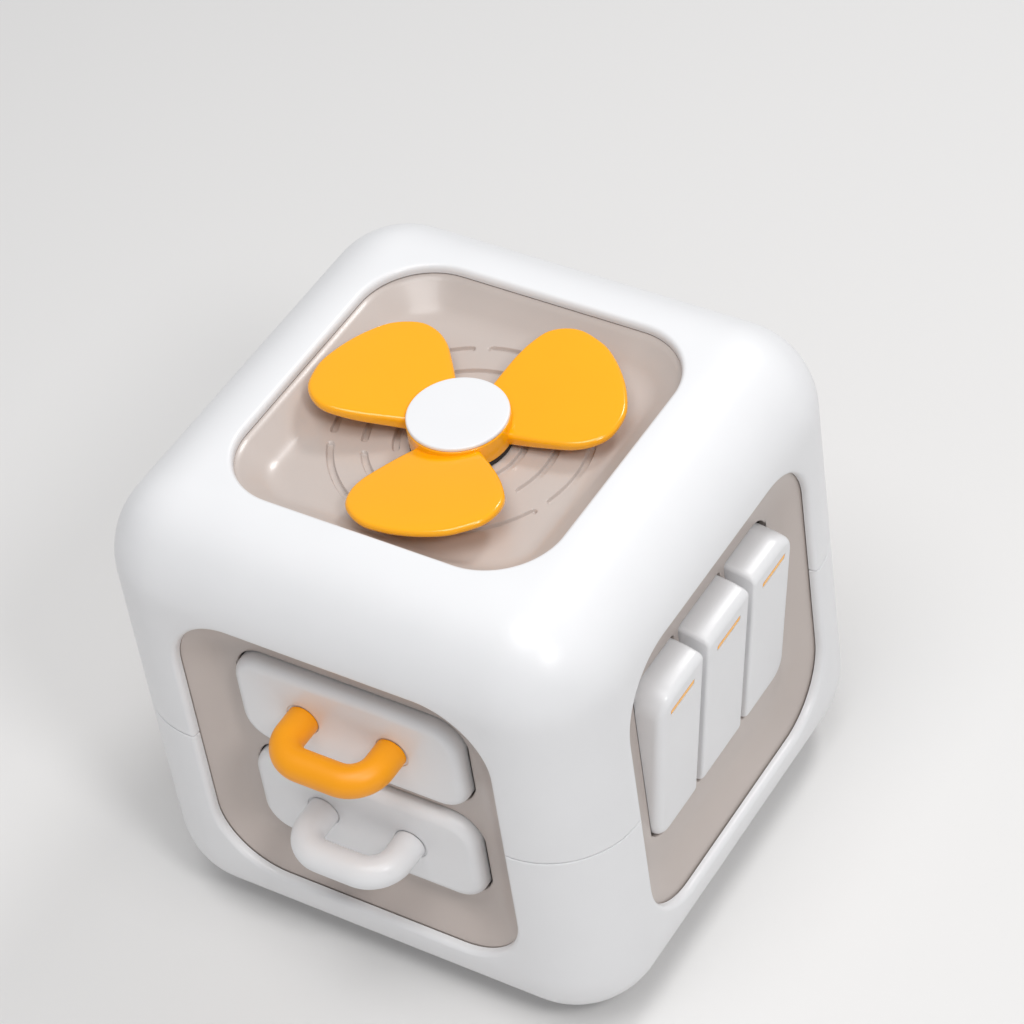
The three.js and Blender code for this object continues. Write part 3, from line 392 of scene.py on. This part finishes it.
def add_shell_face(form, face, halves):
    """Adds one face of the body, or its half above or below the seam."""
    upright = face not in ("top", "bottom")
    half_a, half_b = HALF, MID if upright else HALF
    throat = BASE_THROAT if face == "bottom" else THROAT
    samples = rim_samples(throat, half_a, half_b, upright)
    if upright:
        side_count = 2 * len(SEAM_ROWS) + 1 + 2 * CORNER_STEPS
        plain_count = len(PLAIN_ROWS) + 2 * CORNER_STEPS
        first = 1 + len(SEAM_ROWS)
        second = first + side_count + plain_count
        upper = samples[first:second]
        lower = samples[second:] + samples[:first]
        samples = upper if halves == "upper" else lower
    sections = [shell_section(sample, half_a, half_b, upright) for sample in samples]
    rings = [form.ring([FACES[face] @ point for point in section]) for section in sections]
    if not upright:
        rings.append(rings[0])
    form.bridge_all(rings, closed=False)
    if upright:
        form.polygon(rings[0])
        form.polygon(rings[-1][::-1])


def make_shell(name, cap_face, halves):
    form = Form()
    add_shell_face(form, cap_face, halves)
    for face in ("front", "right", "back", "left"):
        add_shell_face(form, face, halves)
    finish_piece(name, form, Matrix.Identity(4), "cube_body", [f"{halves}_shell"], "white_plastic")


# ---- Dished panels ------------------------------------------------------------------------


def reach_of(half, radius, angle):
    """Distance from the centre to a rounded square's outline, along an angle."""
    x, y = abs(math.cos(angle)), abs(math.sin(angle))
    straight = half - radius
    if min(x, y) * half <= straight * max(x, y):
        return half / max(x, y)
    return straight * (x + y) + math.sqrt(radius ** 2 - (straight * (x - y)) ** 2)


def dish_ring(half, radius, depth, count):
    points = []
    for k in range(count):
        angle = 2 * math.pi * k / count
        reach = reach_of(half, radius, angle)
        points.append((reach * math.cos(angle), reach * math.sin(angle), -depth))
    return points


def dish_profile(depth, throat):
    """(half width, corner radius, depth) down the dish: straight slope, then a round foot."""
    foot = throat - FLOOR_INSET
    toe = foot - FLOOR_TOE
    top, knee = Vector((throat, SEAT)), Vector((foot, depth))
    start = top.lerp(knee, SLOPE_SHARE)
    path = [top.lerp(start, k / 4) for k in range(4)]
    for k in range(9):
        t = k / 8
        path.append(start * (1 - t) ** 2 + knee * 2 * t * (1 - t) + Vector((toe, depth)) * t ** 2)
    profile = []
    for half, down in path:
        share = (half - toe) / (throat - toe)
        profile.append((half, FLOOR_RADIUS + (WINDOW_RADIUS - FLOOR_RADIUS) * share, down))
    return profile


def dish_rings(form, depth, throat, count):
    """Closed back, flange and slope of a panel. Returns the floor's edge."""
    back = SEAT + PANEL_SHEET
    flange = throat + FLANGE
    rings = [
        (throat - FLOOR_INSET + 1, 11, depth + PANEL_SHEET),
        (throat + 1.2, WINDOW_RADIUS, back),
        (flange, FLANGE_CORNER, back),
        (flange, FLANGE_CORNER, SEAT),
        (throat + 0.4, WINDOW_RADIUS + 0.4, SEAT),
    ] + dish_profile(depth, throat)
    made = [form.ring(dish_ring(*ring, count)) for ring in rings]
    form.bridge_all(made)
    return made[0], made[-1]


def rounded_hole(form, outline_at, depth, back, edge=0.4, centre=(0, 0)):
    """Through hole with a rounded front edge. outline_at(grow) gives its outline, grown outwards."""
    rings = []
    for angle in quarter(4):
        grow = edge * (1 - math.sin(angle))
        rings.append(form.ring(at_depth(outline_at(grow), depth + edge * (1 - math.cos(angle)), centre)))
    rings.append(form.ring(at_depth(outline_at(0), back, centre)))
    form.bridge_all(rings)
    return rings[0], rings[-1]


def make_panel(face, holes=()):
    """A dished panel. Each hole is (outline function, centre)."""
    depth = DISH_DEPTH[face]
    form = Form()
    back_edge, floor_edge = dish_rings(form, depth, THROAT, PANEL_STEPS)
    inner = form.ring(dish_ring(THROAT - FLOOR_INSET - 3.5, 8.2, depth, PANEL_STEPS))
    form.bridge(floor_edge, inner)
    fronts, backs = [], []
    for outline_at, centre in holes:
        front, back = rounded_hole(form, outline_at, depth, depth + PANEL_SHEET, centre=centre)
        fronts.append(front)
        backs.append(back)
    form.fill(inner, *fronts)
    form.fill(back_edge, *backs)
    finish_piece(
        f"{face}_panel_dish", form, FACES[face], "cube_body", [f"{face}_panel"], "greige_plastic")


COVER_GAP = 0.3
COVER_EDGE = 0.8
COVER_CORNER = 4.0


def make_base_cover():
    """Flat cover under the body: a flush sheet with a rounded rim and a flange, hollow behind."""
    outer = BASE_THROAT - COVER_GAP
    inner = outer - PANEL_SHEET
    back = SEAT + PANEL_SHEET
    flange = BASE_THROAT + FLANGE
    profile = [
        (inner, WINDOW_RADIUS - PANEL_SHEET, PANEL_SHEET), (inner, WINDOW_RADIUS - PANEL_SHEET, back),
        (flange, COVER_CORNER, back), (flange, COVER_CORNER, SEAT), (outer, WINDOW_RADIUS, SEAT),
    ]
    for theta in quarter(5):
        drawn = COVER_EDGE * (1 - math.cos(theta))
        profile.append((outer - drawn, WINDOW_RADIUS - drawn, COVER_EDGE * (1 - math.sin(theta))))
    form = Form()
    rings = [form.ring(dish_ring(*step, PANEL_STEPS)) for step in profile]
    form.bridge_all(rings)
    form.fill(rings[0])
    form.fill(rings[-1])
    finish_piece(
        "bottom_panel_cover", form, FACES["bottom"], "cube_body", ["bottom_panel"], "greige_plastic")


# Radius, number of arcs and first break in degrees.
GROOVES = ((35.0, 8, 22.5), (26.0, 6, 30.0), (17.5, 4, 45.0))
GROOVE_HALF = 0.9
GROOVE_DEPTH = 1.0
GROOVE_ROUND = 0.18
GROOVE_BREAK = 3.8
GROOVE_STEPS = (
    1.35, 1.12, 0.98, 0.9, 0.82, 0.7, 0.35, 0, -0.35, -0.7, -0.82, -0.9, -0.98, -1.12, -1.35,
)
FLOOR_RING = 37.0                    # half width of the floor around the round grille
GRILLE_OUTER, GRILLE_INNER = 36.6, 12.0
BUSH_BORE = 4.3


def groove_depth(radius, angle):
    """Depth of the pressed grille arcs at a place on the top dish's floor."""
    deepest = 0.0
    for centre, count, first in GROOVES:
        pitch = 2 * math.pi / count
        past = (angle - math.radians(first)) % pitch
        from_break = min(past, pitch - past) * centre
        short = max(0.0, GROOVE_BREAK / 2 + GROOVE_HALF - from_break)
        away = math.hypot(radius - centre, short)
        share = max(0.0, min(1.0, (GROOVE_HALF + GROOVE_ROUND - away) / (2 * GROOVE_ROUND)))
        deepest = max(deepest, GROOVE_DEPTH * share * share * (3 - 2 * share))
    return deepest


def make_top_panel():
    depth = DISH_DEPTH["top"]
    count = 720
    form = Form()
    back_edge, floor_edge = dish_rings(form, depth, THROAT, count)
    radii = [GRILLE_OUTER]
    for centre, _, _ in reversed(sorted(GROOVES)):
        radii += [centre + step for step in GROOVE_STEPS]
    radii.append(GRILLE_INNER)
    rings = [floor_edge, form.ring(dish_ring(FLOOR_RING, WINDOW_RADIUS, depth, count))]
    turns = [2 * math.pi * k / count for k in range(count)]
    for radius in radii:
        rings.append(form.ring([
            (radius * math.cos(turn), radius * math.sin(turn), -depth - groove_depth(radius, turn))
            for turn in turns
        ]))
    bore = form.ring(at_depth(circle(BUSH_BORE, count), depth))
    back_bore = form.ring(at_depth(circle(BUSH_BORE, count), depth + PANEL_SHEET))
    form.bridge_all(rings + [bore, back_bore, back_edge])
    finish_piece(
        "top_panel_dish", form, FACES["top"], "cube_body", ["top_panel"], "greige_plastic", crease=50)


# ---- Fan ----------------------------------------------------------------------------------

BLADE_Z = 146.0
ROOT_PITCH, TIP_PITCH = 5.8, 4.4     # degrees
ROOT_DROP = 3.0
BLADE_TOP, BLADE_UNDER = 1.05, 1.25   # from the mid plane
ROOT_THICKENING = 1.7
BLADE_ROOT, BLADE_TIP = 10.0, 44.4
BLADE_ANGLES = (45, 165, 285)
BLADE_EDGE = 1.15
BLADE_MIDDLE = (27.0, 0.0)
BLADE_PULLS = (0.9, 0.75, 0.6, 0.45, 0.3, 0.15)   # shares of the way in from the edge to the middle
BLADE_OUTLINE = (
    (10, -8.7), (15, -12.7), (20, -16.3), (25, -19.5), (30, -21), (35, -20.5), (39, -17.6), (42, -13.5),
    (43.6, -8.2), (44.35, -3), (44.4, 3), (43.6, 9), (42, 13.1), (39, 17.9), (35, 20.6), (30, 21.4),
    (25, 19.6), (20, 16.6), (15, 12.7), (10, 8.6),
)
SOCKET_RADIUS, SOCKET_FLOOR = 5.6, 141.8
HUB_RADIUS, HUB_EDGE = 14.0, 0.45
AXLE_BORE = 2.8
CAP_SPIGOT = (5.2, 0.9)              # radius and length
CAP_GAP = 0.05
CAP_EDGE, CAP_CHAMFER, CAP_CROWN = 0.55, 0.2, 0.12
WASHER_BORE, WASHER_EDGE = 3.2, 0.3


def smooth_outline(points, steps):
    """Open Catmull-Rom curve through the points."""
    route = []
    count = len(points)
    for k in range(count - 1):
        p = [Vector(points[min(max(k + shift, 0), count - 1)]) for shift in (-1, 0, 1, 2)]
        for step in range(steps):
            t = step / steps
            route.append(0.5 * (
                2 * p[1] + (p[2] - p[0]) * t + (2 * p[0] - 5 * p[1] + 4 * p[2] - p[3]) * t ** 2
                + (3 * p[1] - p[0] - 3 * p[2] + p[3]) * t ** 3
            ))
    route.append(Vector(points[-1]))
    return route


def inset_outline(route, distance):
    """Outline drawn in along its own normals."""
    count = len(route)
    result = []
    for k, point in enumerate(route):
        along = route[(k + 1) % count] - route[k - 1]
        normal = Vector((-along.y, along.x)).normalized()
        result.append(point + normal * distance)
    return result


def blade_share(u):
    """0 at the blade's tip, 1 at its root."""
    return max(0.0, min(1.0, (BLADE_TIP - u) / (BLADE_TIP - BLADE_ROOT)))


def blade_point(u, v, w):
    """Place of a point of the twisted blade: it is steeper and lower towards the hub."""
    share = blade_share(u)
    pitch = math.radians(TIP_PITCH + (ROOT_PITCH - TIP_PITCH) * share)
    rise = v * math.sin(pitch) + w * math.cos(pitch)
    return Vector((u, v * math.cos(pitch) - w * math.sin(pitch), BLADE_Z - ROOT_DROP * share ** 2 + rise))


def add_blade(form, angle):
    route = smooth_outline(BLADE_OUTLINE, 5)
    turn = Matrix.Rotation(math.radians(angle), 4, "Z")

    def top_at(u):
        return BLADE_TOP

    def under_at(u):
        return -BLADE_UNDER - ROOT_THICKENING * blade_share(u) ** 1.5

    def layer(inset, height_of, pull=0.0):
        middle = Vector(BLADE_MIDDLE)
        shrunk = [p.lerp(middle, pull) for p in inset_outline(route, inset)]
        return form.ring([turn @ blade_point(p.x, p.y, height_of(p.x)) for p in shrunk])

    rings = [layer(BLADE_EDGE, under_at, pull) for pull in BLADE_PULLS]
    for theta in quarter(6):
        inset = BLADE_EDGE * (1 - math.sin(theta))
        rise = BLADE_EDGE * (1 - math.cos(theta))
        rings.append(layer(inset, lambda u, rise=rise: under_at(u) + rise))
    for theta in quarter(6):
        inset = BLADE_EDGE * (1 - math.cos(theta))
        drop = BLADE_EDGE * (1 - math.sin(theta))
        rings.append(layer(inset, lambda u, drop=drop: top_at(u) - drop))
    rings += [layer(BLADE_EDGE, top_at, pull) for pull in reversed(BLADE_PULLS)]
    form.bridge_all(rings)
    for ring, height_at in ((rings[0], under_at), (rings[-1], top_at)):
        form.fan(ring, turn @ blade_point(*BLADE_MIDDLE, height_at(BLADE_MIDDLE[0])))


def rounded_disc(radius, low, high, edge, steps=5):
    """Profile of a disc's rim from its lower face to its upper one, both edges rounded."""
    profile = []
    for theta in quarter(steps):
        profile.append((radius - edge * (1 - math.sin(theta)), low + edge * (1 - math.cos(theta))))
    for theta in quarter(steps):
        profile.append((radius - edge * (1 - math.cos(theta)), high - edge * (1 - math.sin(theta))))
    return profile


def make_rotor(hub_bottom, hub_top):
    profile = [(AXLE_BORE, hub_bottom)] + rounded_disc(HUB_RADIUS, hub_bottom, hub_top, HUB_EDGE)
    profile += [
        (SOCKET_RADIUS, hub_top), (SOCKET_RADIUS, SOCKET_FLOOR), (AXLE_BORE, SOCKET_FLOOR),
        (AXLE_BORE, hub_bottom),
    ]
    form = lathe_form(profile)
    for angle in BLADE_ANGLES:
        add_blade(form, angle)
    finish_piece("fan_blades", form, UPRIGHT, "fan", ["fan_rotor"], "amber_gloss")


def make_cap(low, high):
    """White disc on the hub, with a short spigot, a rounded rim and a slightly crowned top."""
    spigot_radius, spigot_length = CAP_SPIGOT
    bottom = low.z + spigot_length
    radius = (high.x - low.x) / 2
    profile = [
        (0, low.z), (spigot_radius, low.z), (spigot_radius, bottom), (radius - CAP_CHAMFER, bottom),
        (radius, bottom + CAP_CHAMFER),
    ]
    for theta in quarter(8):
        height = high.z - CAP_CROWN - CAP_EDGE * (1 - math.sin(theta))
        profile.append((radius - CAP_EDGE * (1 - math.cos(theta)), height))
    for k in range(1, 8):
        place = (radius - CAP_EDGE) * (1 - k / 8)
        profile.append((place, high.z - CAP_CROWN * (place / radius) ** 2))
    profile.append((0, high.z))
    finish_piece("fan_cap_disc", lathe_form(profile), UPRIGHT, "fan", ["fan_cap"], "white_plastic")


def make_washer():
    low, high = node_box("fan_washer")
    profile = [(WASHER_BORE, low.z)] + rounded_disc((high.x - low.x) / 2, low.z, high.z, WASHER_EDGE)
    profile += [(WASHER_BORE, high.z), (WASHER_BORE, low.z)]
    form = lathe_form(profile)
    finish_piece("fan_washer_ring", form, UPRIGHT, "cube_body", ["fan_washer"], "black_rubber")


def make_fan():
    cap_low, cap_high = node_box("fan_cap")
    make_rotor(node_box("fan_rotor")[0].z, cap_low.z + CAP_SPIGOT[1] - CAP_GAP)
    make_cap(cap_low, cap_high)
    make_washer()


# ---- Drawers ------------------------------------------------------------------------------

DRAWER_RADIUS = 9.0
DRAWER_FILLET = 3.2
FACE_DEPTH = 5.7
BLOCK_BACK = 12.7
HANDLE_SPAN = 13.9
HANDLE_BEND = 8.0
SEAT_RADIUS = 4.95
SEAT_DEPTH = 0.4
TRAY_HALF = 33.0
TRAY_WALL = 2.0
TRAY_SIDE = 24.0
TRAY_OVERLAP = 0.2       # how far the tray runs into the front block
EAR_FOOT, EAR_DEPTH, EAR_GAP = -8.0, 3.0, 0.05
FRONT_WALL = 3.5
POCKET_RADIUS, POCKET_DROP = 6.5, 0.25


def tray_path(half, radius, half_a, half_b, top):
    """Right half of a tray's section, from the rim down its side and round its lower corner."""
    centre_a, centre_b = half_a - DRAWER_RADIUS, DRAWER_RADIUS - half_b
    start = math.acos((half - centre_a) / radius)
    path = [(half, top)]
    for k in range(9):
        angle = start + (math.pi / 2 - start) * k / 8
        path.append((centre_a + radius * math.cos(angle), centre_b - radius * math.sin(angle)))
    return path


def mirrored(path):
    return [(-a, b) for a, b in reversed(path)]


def add_tray(form, half_a, half_b, top, front, back):
    """Open-topped tray behind a drawer's front block, with rounded lower corners and rims."""
    wall = TRAY_WALL
    rim = top - wall / 2
    outer = tray_path(TRAY_HALF, DRAWER_RADIUS, half_a, half_b, rim)
    inner = tray_path(TRAY_HALF - wall, DRAWER_RADIUS - wall, half_a, half_b, rim)
    bend = []
    for k in range(1, 6):
        angle = math.pi * k / 6
        bend.append((TRAY_HALF - wall / 2 - wall / 2 * math.cos(angle), rim + wall / 2 * math.sin(angle)))
    section = outer + mirrored(outer) + mirrored(bend) + inner_side(inner) + bend[::-1]
    rings = [form.ring(at_depth(section, depth)) for depth in (front, back)]
    form.bridge_all(rings)
    form.fill(rings[0])
    form.fill(rings[1])
    end_wall = inner + mirrored(inner)
    ends = [form.ring(at_depth(end_wall, depth)) for depth in (back - wall, back)]
    form.bridge_all(ends)
    form.polygon(ends[0])
    form.polygon(ends[1])


def inner_side(path):
    """Left rim to right rim along the inside of the tray."""
    return [(-a, b) for a, b in path] + path[::-1]


def add_seat(form, a):
    """Shallow round seat for one leg of the handle. Returns its rim."""
    rim, floor = rounded_hole(
        form, lambda grow: circle(SEAT_RADIUS + grow), FACE_DEPTH, FACE_DEPTH + SEAT_DEPTH, 0.25, (a, 0))
    form.fan(floor, (a, 0, -FACE_DEPTH - SEAT_DEPTH))
    return rim


def make_drawer(name, slot):
    low, high = node_box(f"drawer_{name}")
    half_a = (high.x - low.x) / 2
    half_b = (high.z - low.z) / 2
    centre = (high.z + low.z) / 2 - MID
    back = high.y + HALF
    form = Form()

    def outline(inset, depth):
        points = rounded_rect(half_a - inset, half_b - inset, DRAWER_RADIUS - inset, 14)
        return form.ring(at_depth(points, depth))

    rings = [outline(0, BLOCK_BACK), outline(0, FACE_DEPTH + DRAWER_FILLET)]
    for theta in quarter(10)[1:]:
        inset = DRAWER_FILLET * (1 - math.cos(theta))
        rings.append(outline(inset, FACE_DEPTH + DRAWER_FILLET * (1 - math.sin(theta))))
    rings.append(outline(DRAWER_FILLET + 0.4, FACE_DEPTH))
    form.bridge_all(rings)
    form.fill(rings[-1], *[add_seat(form, sign * HANDLE_SPAN) for sign in (-1, 1)])
    pocket = rounded_rect(TRAY_HALF - TRAY_WALL, half_b - TRAY_WALL - POCKET_DROP, POCKET_RADIUS, 14)
    mouth = form.ring(at_depth(pocket, BLOCK_BACK, (0, -POCKET_DROP)))
    floor = form.ring(at_depth(pocket, FACE_DEPTH + FRONT_WALL, (0, -POCKET_DROP)))
    form.bridge_all([rings[0], mouth, floor])
    form.polygon(floor)
    top = TRAY_SIDE - half_b
    add_tray(form, half_a, half_b, top, BLOCK_BACK - TRAY_OVERLAP, back)
    for sign in (-1, 1):
        edges = sorted((sign * TRAY_HALF, sign * (half_a - EAR_GAP)))
        form.box((edges[0], EAR_FOOT, -back), (edges[1], top - 1, -back + EAR_DEPTH))
    form.transform(Matrix.Translation((0, centre, 0)))
    body = f"{name}_drawer"
    finish_piece(
        f"drawer_{name}_moulding", form, FACES["front"], body, [f"drawer_{name}"], "white_plastic")
    make_handle(name, centre, slot)


def make_handle(name, centre, slot):
    """U-shaped handle: two legs, two bends and a bar with one round section."""
    low, high = node_box(f"handle_{name}")
    bar = (high.z - low.z) / 2
    reach = -low.y - HALF - bar
    span = (high.x - low.x) / 2 - bar
    foot = -FACE_DEPTH - 0.1
    route = [(-span, foot, (0, 1)), (-span, foot + 3, (0, 1))]
    for theta in quarter(14):
        along = (math.sin(theta), math.cos(theta))
        route.append((
            -span + HANDLE_BEND * (1 - math.cos(theta)), reach - HANDLE_BEND * (1 - math.sin(theta)), along,
        ))
    for k in range(1, 5):
        route.append((-span + HANDLE_BEND + k * 2 * (span - HANDLE_BEND) / 5, reach, (1, 0)))
    back_again = [(-a, c, (along[0], -along[1])) for a, c, along in reversed(route[:-4])]
    form = Form()
    rings = []
    for a, c, along in route + back_again:
        side = Vector((along[1], 0, -along[0]))
        rings.append(form.ring([
            Vector((a, centre, c)) + side * x + Vector((0, y, 0)) for x, y in circle(bar, 40)
        ]))
    form.bridge_all(rings)
    form.polygon(rings[0])
    form.polygon(rings[-1])
    finish_piece(f"handle_{name}_bar", form, FACES["front"], f"{name}_drawer", [f"handle_{name}"], slot)


# ---- Rockers ------------------------------------------------------------------------------

ROCKER_HALF = 10.9
ROCKER_PITCH = 24.9
ROCKER_ARC = 29.9
ROCKER_FACE = 8.4
ROCKER_FILLET = 2.5
ROCKER_BACK = -3.0
ROCKER_SHOULDER = 3.0                        # height where the close rings of the front begin
ROCKER_EDGES = {"sharp": 0.9, "soft": 2.6}   # rounding of the front edges along the sides
ROCKER_CORNERS = {"sharp": 1.4, "soft": 8.0}
LEAST_CORNERS = {"sharp": 0.5, "soft": 2.5}
CORNER_SHRINK = 0.45                         # how fast the soft corners tighten towards the ends
ROCKER_TILT = 7.6
PIVOT_DEPTH = 10.2
PIVOT_RISE = 1.83
OPENING_GAP = 0.45
OPENING_CORNERS = {"sharp": 1.5, "soft": 7.5}
SLOT_V = 22.5
SLOT = (6.3, 1.0, 0.5)                       # half length, half width and corner radius
SLOT_DEPTH, SLOT_LIP, SLOT_FLARE = 1.6, 0.12, (1.02, 1.12)
LINE = (6.0, 0.8, 0.3)
LINE_FOOT, LINE_SHOULDER, LINE_SUNK = 1.3, 0.15, 0.05
LINE_TAPER = (0.985, 0.85)


def corner_kinds(outer_side):
    """Kind of each corner of a rocker, in rounded_rect's order: soft on its outer side only."""
    right, left = ("soft" if outer_side == side else "sharp" for side in (1, -1))
    return right, left, left, right


def rocker_half_length(u):
    """Half length of the rocker up its face, at height u above the pivot: arc, then round end."""
    turn_u = ROCKER_FACE - ROCKER_FILLET
    turn_v = math.sqrt((ROCKER_ARC - ROCKER_FILLET) ** 2 - turn_u ** 2)
    blend_u = ROCKER_ARC * turn_u / (ROCKER_ARC - ROCKER_FILLET)
    if u <= blend_u:
        return math.sqrt(ROCKER_ARC ** 2 - u * u)
    return turn_v + math.sqrt(max(0.0, ROCKER_FILLET ** 2 - (u - turn_u) ** 2))


def rocker_matrix(outer_side):
    """From a rocker's own (u, along, v) millimetres to the frame at rest."""
    pivot = Vector((HALF - PIVOT_DEPTH, outer_side * ROCKER_PITCH, MID + PIVOT_RISE)) * MM
    tilt = Matrix.Rotation(math.radians(ROCKER_TILT), 4, "Y")
    return Matrix.Translation(pivot) @ tilt @ Matrix.Scale(MM, 4)


def rocker_section(u, kinds):
    """Outline of a rocker at height u above its pivot, drawn in where its front edges are rounded."""
    insets = {}
    for kind, edge in ROCKER_EDGES.items():
        near = max(0.0, u - (ROCKER_FACE - edge))
        insets[kind] = edge - math.sqrt(max(0.0, edge ** 2 - near ** 2))
    half_v = rocker_half_length(u)
    radii = []
    for kind in kinds:
        drawn = insets[kind]
        if kind == "soft":
            drawn = (rocker_half_length(0) - half_v) * CORNER_SHRINK + drawn
        radii.append(max(LEAST_CORNERS[kind], ROCKER_CORNERS[kind] - drawn))
    right, left = insets[kinds[0]], insets[kinds[1]]
    outline = rounded_rect(ROCKER_HALF - (right + left) / 2, half_v, radii, 12)
    return [(u, a + (left - right) / 2, b) for a, b in outline]


def line_ring(form, size, sunk, stretch=(1, 1)):
    """Ring of the amber line or its slot, at a depth below the rocker's face."""
    return form.ring([
        (ROCKER_FACE - sunk, a * stretch[0], b * stretch[1] + SLOT_V) for a, b in rounded_rect(*size, 4)
    ])


def make_rocker(name, outer_side):
    form = Form()
    levels = [ROCKER_BACK, 0.0, ROCKER_SHOULDER]
    levels += [
        ROCKER_SHOULDER + (ROCKER_FACE - ROCKER_SHOULDER) * math.sin(theta) for theta in quarter(22)[1:]
    ]
    rings = [form.ring(rocker_section(u, corner_kinds(outer_side))) for u in levels]
    form.bridge_all(rings)
    rim = line_ring(form, SLOT, 0, SLOT_FLARE)
    lip = line_ring(form, SLOT, SLOT_LIP)
    floor = line_ring(form, SLOT, SLOT_DEPTH)
    form.bridge_all([rim, lip, floor])
    form.polygon(floor)
    form.fill(rings[-1], rim)
    form.polygon(rings[0])
    body = f"{name}_rocker"
    matrix = rocker_matrix(outer_side)
    finish_piece(f"rocker_{name}_key", form, matrix, body, [f"rocker_{name}"], "white_plastic")

    strip = Form()
    foot = line_ring(strip, LINE, LINE_FOOT)
    shoulder = line_ring(strip, LINE, LINE_SHOULDER)
    crown = line_ring(strip, LINE, LINE_SUNK, LINE_TAPER)
    strip.bridge_all([foot, shoulder, crown])
    strip.polygon(foot)
    strip.polygon(crown)
    finish_piece(f"indicator_{name}_line", strip, matrix, body, [f"indicator_{name}"], "amber_gloss")


# ---- Build --------------------------------------------------------------------------------


def make_object():
    make_shell("upper_shell_moulding", "top", "upper")
    make_shell("lower_shell_moulding", "bottom", "lower")
    make_top_panel()
    drawer_holes = []
    for name in ("upper", "lower"):
        low, high = node_box(f"drawer_{name}")
        half_a, half_b = (high.x - low.x) / 2 + 0.5, (high.z - low.z) / 2 + 0.5
        centre = (0, (high.z + low.z) / 2 - MID)
        drawer_holes.append((
            lambda grow, a=half_a, b=half_b: rounded_rect(a + grow, b + grow, 9.5 + grow, 12), centre))
    make_panel("front", drawer_holes)
    rocker_holes = [
        (lambda grow, kinds=corner_kinds(side): rounded_rect(
            ROCKER_HALF + OPENING_GAP + grow, ROCKER_ARC + OPENING_GAP + grow,
            [OPENING_CORNERS[kind] + grow for kind in kinds], 8),
         (side * ROCKER_PITCH, PIVOT_RISE)) for side in (-1, 0, 1)
    ]
    make_panel("right", rocker_holes)
    for face in ("back", "left"):
        make_panel(face)
    make_base_cover()
    make_fan()
    make_drawer("upper", "amber_matt")
    make_drawer("lower", "white_plastic")
    for side, name in zip((-1, 0, 1), ("near", "middle", "far")):
        make_rocker(name, side)


def dress_cad_nodes():
    """Gives the CAD nodes that stay their finished materials."""
    slots = {entry["node"]: entry["material_slot"] for entry in frame["record"]["subparts"]}
    for name, node in frame["nodes"].items():
        node.data.materials.clear()
        node.data.materials.append(MATERIALS[slots[name]])


# ---- Stage, light and camera --------------------------------------------------------------


def make_stage():
    data = bpy.data.meshes.new("floor")
    size = 6.0
    corners = [(-size, -size, 0), (size, -size, 0), (size, size, 0), (-size, size, 0)]
    data.from_pydata(corners, [], [(0, 1, 2, 3)])
    floor = bpy.data.objects.new("floor", data)
    bpy.context.scene.collection.objects.link(floor)
    material = bpy.data.materials.new("floor_paper")
    material.use_nodes = True
    shader = material.node_tree.nodes["Principled BSDF"]
    shader.inputs["Base Color"].default_value = (0.78, 0.77, 0.76, 1)
    shader.inputs["Roughness"].default_value = 0.8
    data.materials.append(material)


def add_area_light(name, azimuth, elevation, distance, size, power, color=(1, 1, 1)):
    light = bpy.data.lights.new(name, "AREA")
    light.shape = "DISK"
    light.size = size
    light.energy = power
    light.color = color
    lamp = bpy.data.objects.new(name, light)
    a, e = math.radians(azimuth), math.radians(elevation)
    back = Vector((math.sin(a) * math.cos(e), -math.cos(a) * math.cos(e), math.sin(e)))
    target = Vector((0, 0, MID * MM))
    lamp.location = target + back * distance
    lamp.rotation_mode = "QUATERNION"
    lamp.rotation_quaternion = (-back).to_track_quat("-Z", "Y")
    bpy.context.scene.collection.objects.link(lamp)


def make_lights():
    world = bpy.data.worlds.new("studio")
    bpy.context.scene.world = world
    world.use_nodes = True
    sky = world.node_tree.nodes["Background"]
    sky.inputs["Color"].default_value = (0.97, 0.98, 1.0, 1)
    sky.inputs["Strength"].default_value = 0.43
    add_area_light("overhead", 20, 76, 1.3, 0.8, 6.6)
    add_area_light("right_softbox", 62, 48, 1.1, 0.22, 2.8)
    add_area_light("back_strip", 165, 50, 1.1, 0.25, 3)


def make_camera():
    azimuth, elevation, roll = math.radians(37.31), math.radians(43.89), math.radians(-9.34)
    distance = 1056.23 * MM
    target = Vector((-2.38, 19.25, 92.42)) * MM
    level = math.cos(elevation)
    back = Vector((math.sin(azimuth) * level, -math.cos(azimuth) * level, math.sin(elevation)))
    right = (-back).cross(Vector((0, 0, 1))).normalized()
    up = right.cross(-back)
    turned_right = right * math.cos(roll) + up * math.sin(roll)
    turned_up = up * math.cos(roll) - right * math.sin(roll)
    data = bpy.data.cameras.new("camera")
    data.sensor_width = 36.0
    data.lens = 135.96
    data.clip_start, data.clip_end = 0.05, 20
    camera = bpy.data.objects.new("camera", data)
    place = Matrix((turned_right, turned_up, back)).transposed().to_4x4()
    place.translation = target + back * distance
    camera.matrix_world = place
    bpy.context.scene.collection.objects.link(camera)
    bpy.context.scene.camera = camera


make_camera()
make_object()
dress_cad_nodes()
make_stage()
make_lights()
bpy.context.scene.view_settings.view_transform = "Standard"
